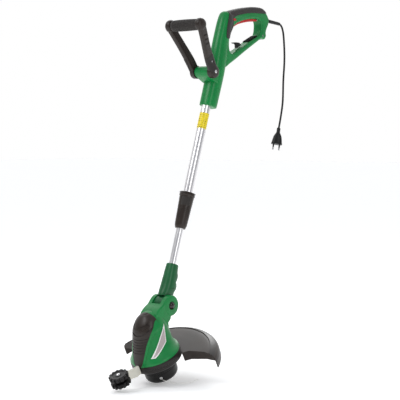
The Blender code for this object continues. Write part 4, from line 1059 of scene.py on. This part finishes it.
def build_blade():
    """The line cutter: a ground blade held in the guard's near corner by two rivets."""
    turn = moved(GUARD_AT) @ spun(-66, "Z")
    plate = slab([[(-9, -178), (9, -178), (9, -154), (7, -152), (-7, -152), (-9, -154)]], 0.7, 0.15, 0, 2,
                 FACE_ON, HEAD @ turn @ moved((0, 183.6, 0)))
    rivets = [turned([(0, 1.4), (1.8, 1.1), (2.4, 0.2), (2.4, -0.6), (0, -0.6)],
                     HEAD @ turn @ moved((x, 182.9, -157)) @ spun(90, "X"), steps=24) for x in (-5, 5)]
    piece("line_blade", joined(plate, *rivets), BRIGHT, "head", "line_cutter")


# ---- guide wheel --------------------------------------------------------------------------------------
def ring_tree():
    """Geometry Nodes that stand copies of a piece round a circle."""
    tree = bpy.data.node_groups.new("copies round a circle", "GeometryNodeTree")
    tree.interface.new_socket("Geometry", in_out="OUTPUT", socket_type="NodeSocketGeometry")
    for label, kind in (("Geometry", "Geometry"), ("Radius", "Float"), ("Count", "Int"),
                        ("Material", "Material")):
        tree.interface.new_socket(label, in_out="INPUT", socket_type="NodeSocket" + kind)
    given = add_node(tree, "NodeGroupInput").outputs
    circle = add_node(tree, "GeometryNodeMeshCircle", {}, Vertices=given["Count"], Radius=given["Radius"])
    where = add_node(tree, "GeometryNodeInputPosition")
    turn = add_node(tree, "FunctionNodeAlignRotationToVector", {"axis": "X"},
                    Vector=where.outputs["Position"])
    copies = add_node(tree, "GeometryNodeInstanceOnPoints", {}, Points=circle.outputs["Mesh"],
                      Instance=given["Geometry"], Rotation=turn.outputs["Rotation"])
    real = add_node(tree, "GeometryNodeRealizeInstances", {}, Geometry=copies.outputs["Instances"])
    coated = add_node(tree, "GeometryNodeSetMaterial", {}, Geometry=real.outputs["Geometry"],
                      Material=given["Material"])
    add_node(tree, "NodeGroupOutput", {}, Geometry=coated.outputs["Geometry"])
    return tree


def ring_of(mesh, place, **given):
    """Copies of a small mesh, stood round a circle about Z and then placed."""
    holder, tree = new_object("ring", mesh), ring_tree()
    step = holder.modifiers.new("ring", "NODES")
    step.node_group = tree
    for socket in tree.interface.items_tree:
        if socket.name in given:
            step[socket.identifier] = given[socket.name]
    made = settled(holder)
    made.transform(place)
    return made


def build_wheel():
    """The guide wheel: two treaded rims on one hub, a bright axle cap, and the cream arm that carries it."""
    rim, at = 24.8, WHEEL
    profile = [(3.3, 16), (8, 16), (9, 15), (17.5, 15), (19, 16.4), (23, 17), (rim, 15.6), (rim, 4.8),
               (24, 3.9), (15, 3.8), (15, -3.8), (24, -3.9), (rim, -4.8), (rim, -15.6), (23, -17),
               (19, -16.4), (17.5, -15), (9, -15), (8, -16), (3.3, -16)]
    place = HEAD @ moved(at)
    piece("roller", turned(profile, HEAD, at, steps=96, hoop=True), BLACK, "guide_wheel", "guide_wheel")
    for label, height in (("upper", 10.4), ("lower", -10.4)):
        tread = eased(block((-1.6, -3.7, -5.6), (3.5, 3.7, 5.6)), 0.8, 2)
        lugs = ring_of(tread, place @ moved((0, 0, height)), Radius=rim * MM, Count=13, Material=BLACK)
        piece("tread_" + label, lugs, BLACK, "guide_wheel")
    axle = [(0, 19), (2.5, 18.9), (4.4, 18.2), (5.7, 17), (6, 16.5), (6, 16.3), (3, 16.3), (3, -16.3),
            (6, -16.3), (6, -17.3), (4.4, -18.4), (2.5, -18.9), (0, -19)]
    piece("axle_cap", turned(axle, HEAD, at, steps=48), BRIGHT, "guide_wheel", "wheel_axle")
    side = [(-171.9, -96), (-171.9, -121), (-190, -121), (-214, -112), (-220, -109), (-220, -84),
            (-214, -84), (-192, -92)]
    arm = slab([side], 4, 0.8, place=HEAD)
    tongue = slab([[(-7, -216), (7, -216), (7, at.y), (-7, at.y)]], 3.4, 0.6, 0, 3, moved((0, 0, at.z)),
                  HEAD)
    eye = turned([(0, 3.4), (13.4, 3.4), (14, 2.8), (14, -2.8), (13.4, -3.4), (0, -3.4)], HEAD, at, steps=64)
    hole = rod(10.4, 9, -9, HEAD, at, steps=64)
    arm = carved(joined(arm, tongue, eye), [hole])
    piece("roller_arm", arm, CREAM, "head", "wheel_arm")


# ---- spool --------------------------------------------------------------------------------------------
def build_spool():
    """The spool cup, its bright eyelets, and the ringed tap button under it."""
    at, radius = (0, SPOOL.y, 0), 49
    cup = [(radius - 0.4, -130), (radius, -130.6), (radius, -147), (48.3, -147.6), (48.3, -148.6),
           (radius, -149.2), (radius, -166), (48.4, -169.5), (47, -172.6), (45, -175.6), (42, -178.3),
           (38, -180.4), (34, -181.5), (24, -182.3), (17, -182.5), (17, -180.5), (33, -179.5),
           (40.8, -176.6), (45, -172), (46.6, -165.5), (46.6, -130)]
    holes = []
    for k in (0, 1):
        spot = HEAD @ moved(at) @ spun(180 * k - 50, "Z")
        place = spot @ moved((radius, 0, SPOOL.z))
        eyelet = [(1.4, 1.6), (1.8, 2), (3.6, 2), (4.2, 1.5), (4.2, 0.3), (2.9, 0.3), (2.9, -3), (1.4, -3)]
        piece("eyelet_%d" % (k + 1), turned(eyelet, place, (0, 0, 0), "X", 40, hoop=True), BRIGHT, "spool",
              "line_eyelet_%d" % (k + 1))
        holes.append(rod(3.2, 6, -6, place, (0, 0, 0), "X", 40))
    piece("spool_cup", carved(turned(cup, HEAD, at, steps=120, hoop=True), holes), BLACK, "spool",
          "spool_housing")
    knob = [(0, -160), (6, -160), (6, -171), (16, -171), (16.4, -171.4), (16.4, -185.4), (15.8, -186.4),
            (14.6, -187), (12, -187), (11.6, -186.2), (10.6, -186.2), (10.2, -187), (7, -187), (6.6, -186.2),
            (5.6, -186.2), (5.2, -187), (0, -187)]
    piece("tap_knob", turned(knob, HEAD, at, steps=72), CHARCOAL, "tap_button", "tap_button")


# ---- pieces that keep their own shape -----------------------------------------------------------------
def dress_insides():
    """Gives the pieces inside, which keep their CAD shape, their finishes."""
    finishes = {"switch_block": BLACK, "cord_grommet": BLACK, "clamp_collet": BLACK, "spool_carrier": BLACK,
                "cooling_fan": BLACK, "trigger_pin": ZINC, "trigger_spring": BRIGHT, "tap_spring": BRIGHT,
                "pivot_pin": ZINC, "motor_can": ZINC, "motor_bearing": SINTERED, "motor_shaft": BRIGHT,
                "rotor_core": COPPER, "line_reel": CREAM, "guide_bush": CREAM, "line_winding": NYLON}
    for name, finish in finishes.items():
        dressed(NODES[name].data, finish)


set_camera()
set_studio()
build_plug()
build_lead_sleeve()
build_cords()
build_handle()
build_trigger()
build_cable_hook()
build_front_handle()
build_tubes()
build_label()
build_clamp()
build_socket()
build_housing()
build_cover()
build_tilt_button()
build_base()
build_guard()
build_blade()
build_wheel()
build_spool()
dress_insides()
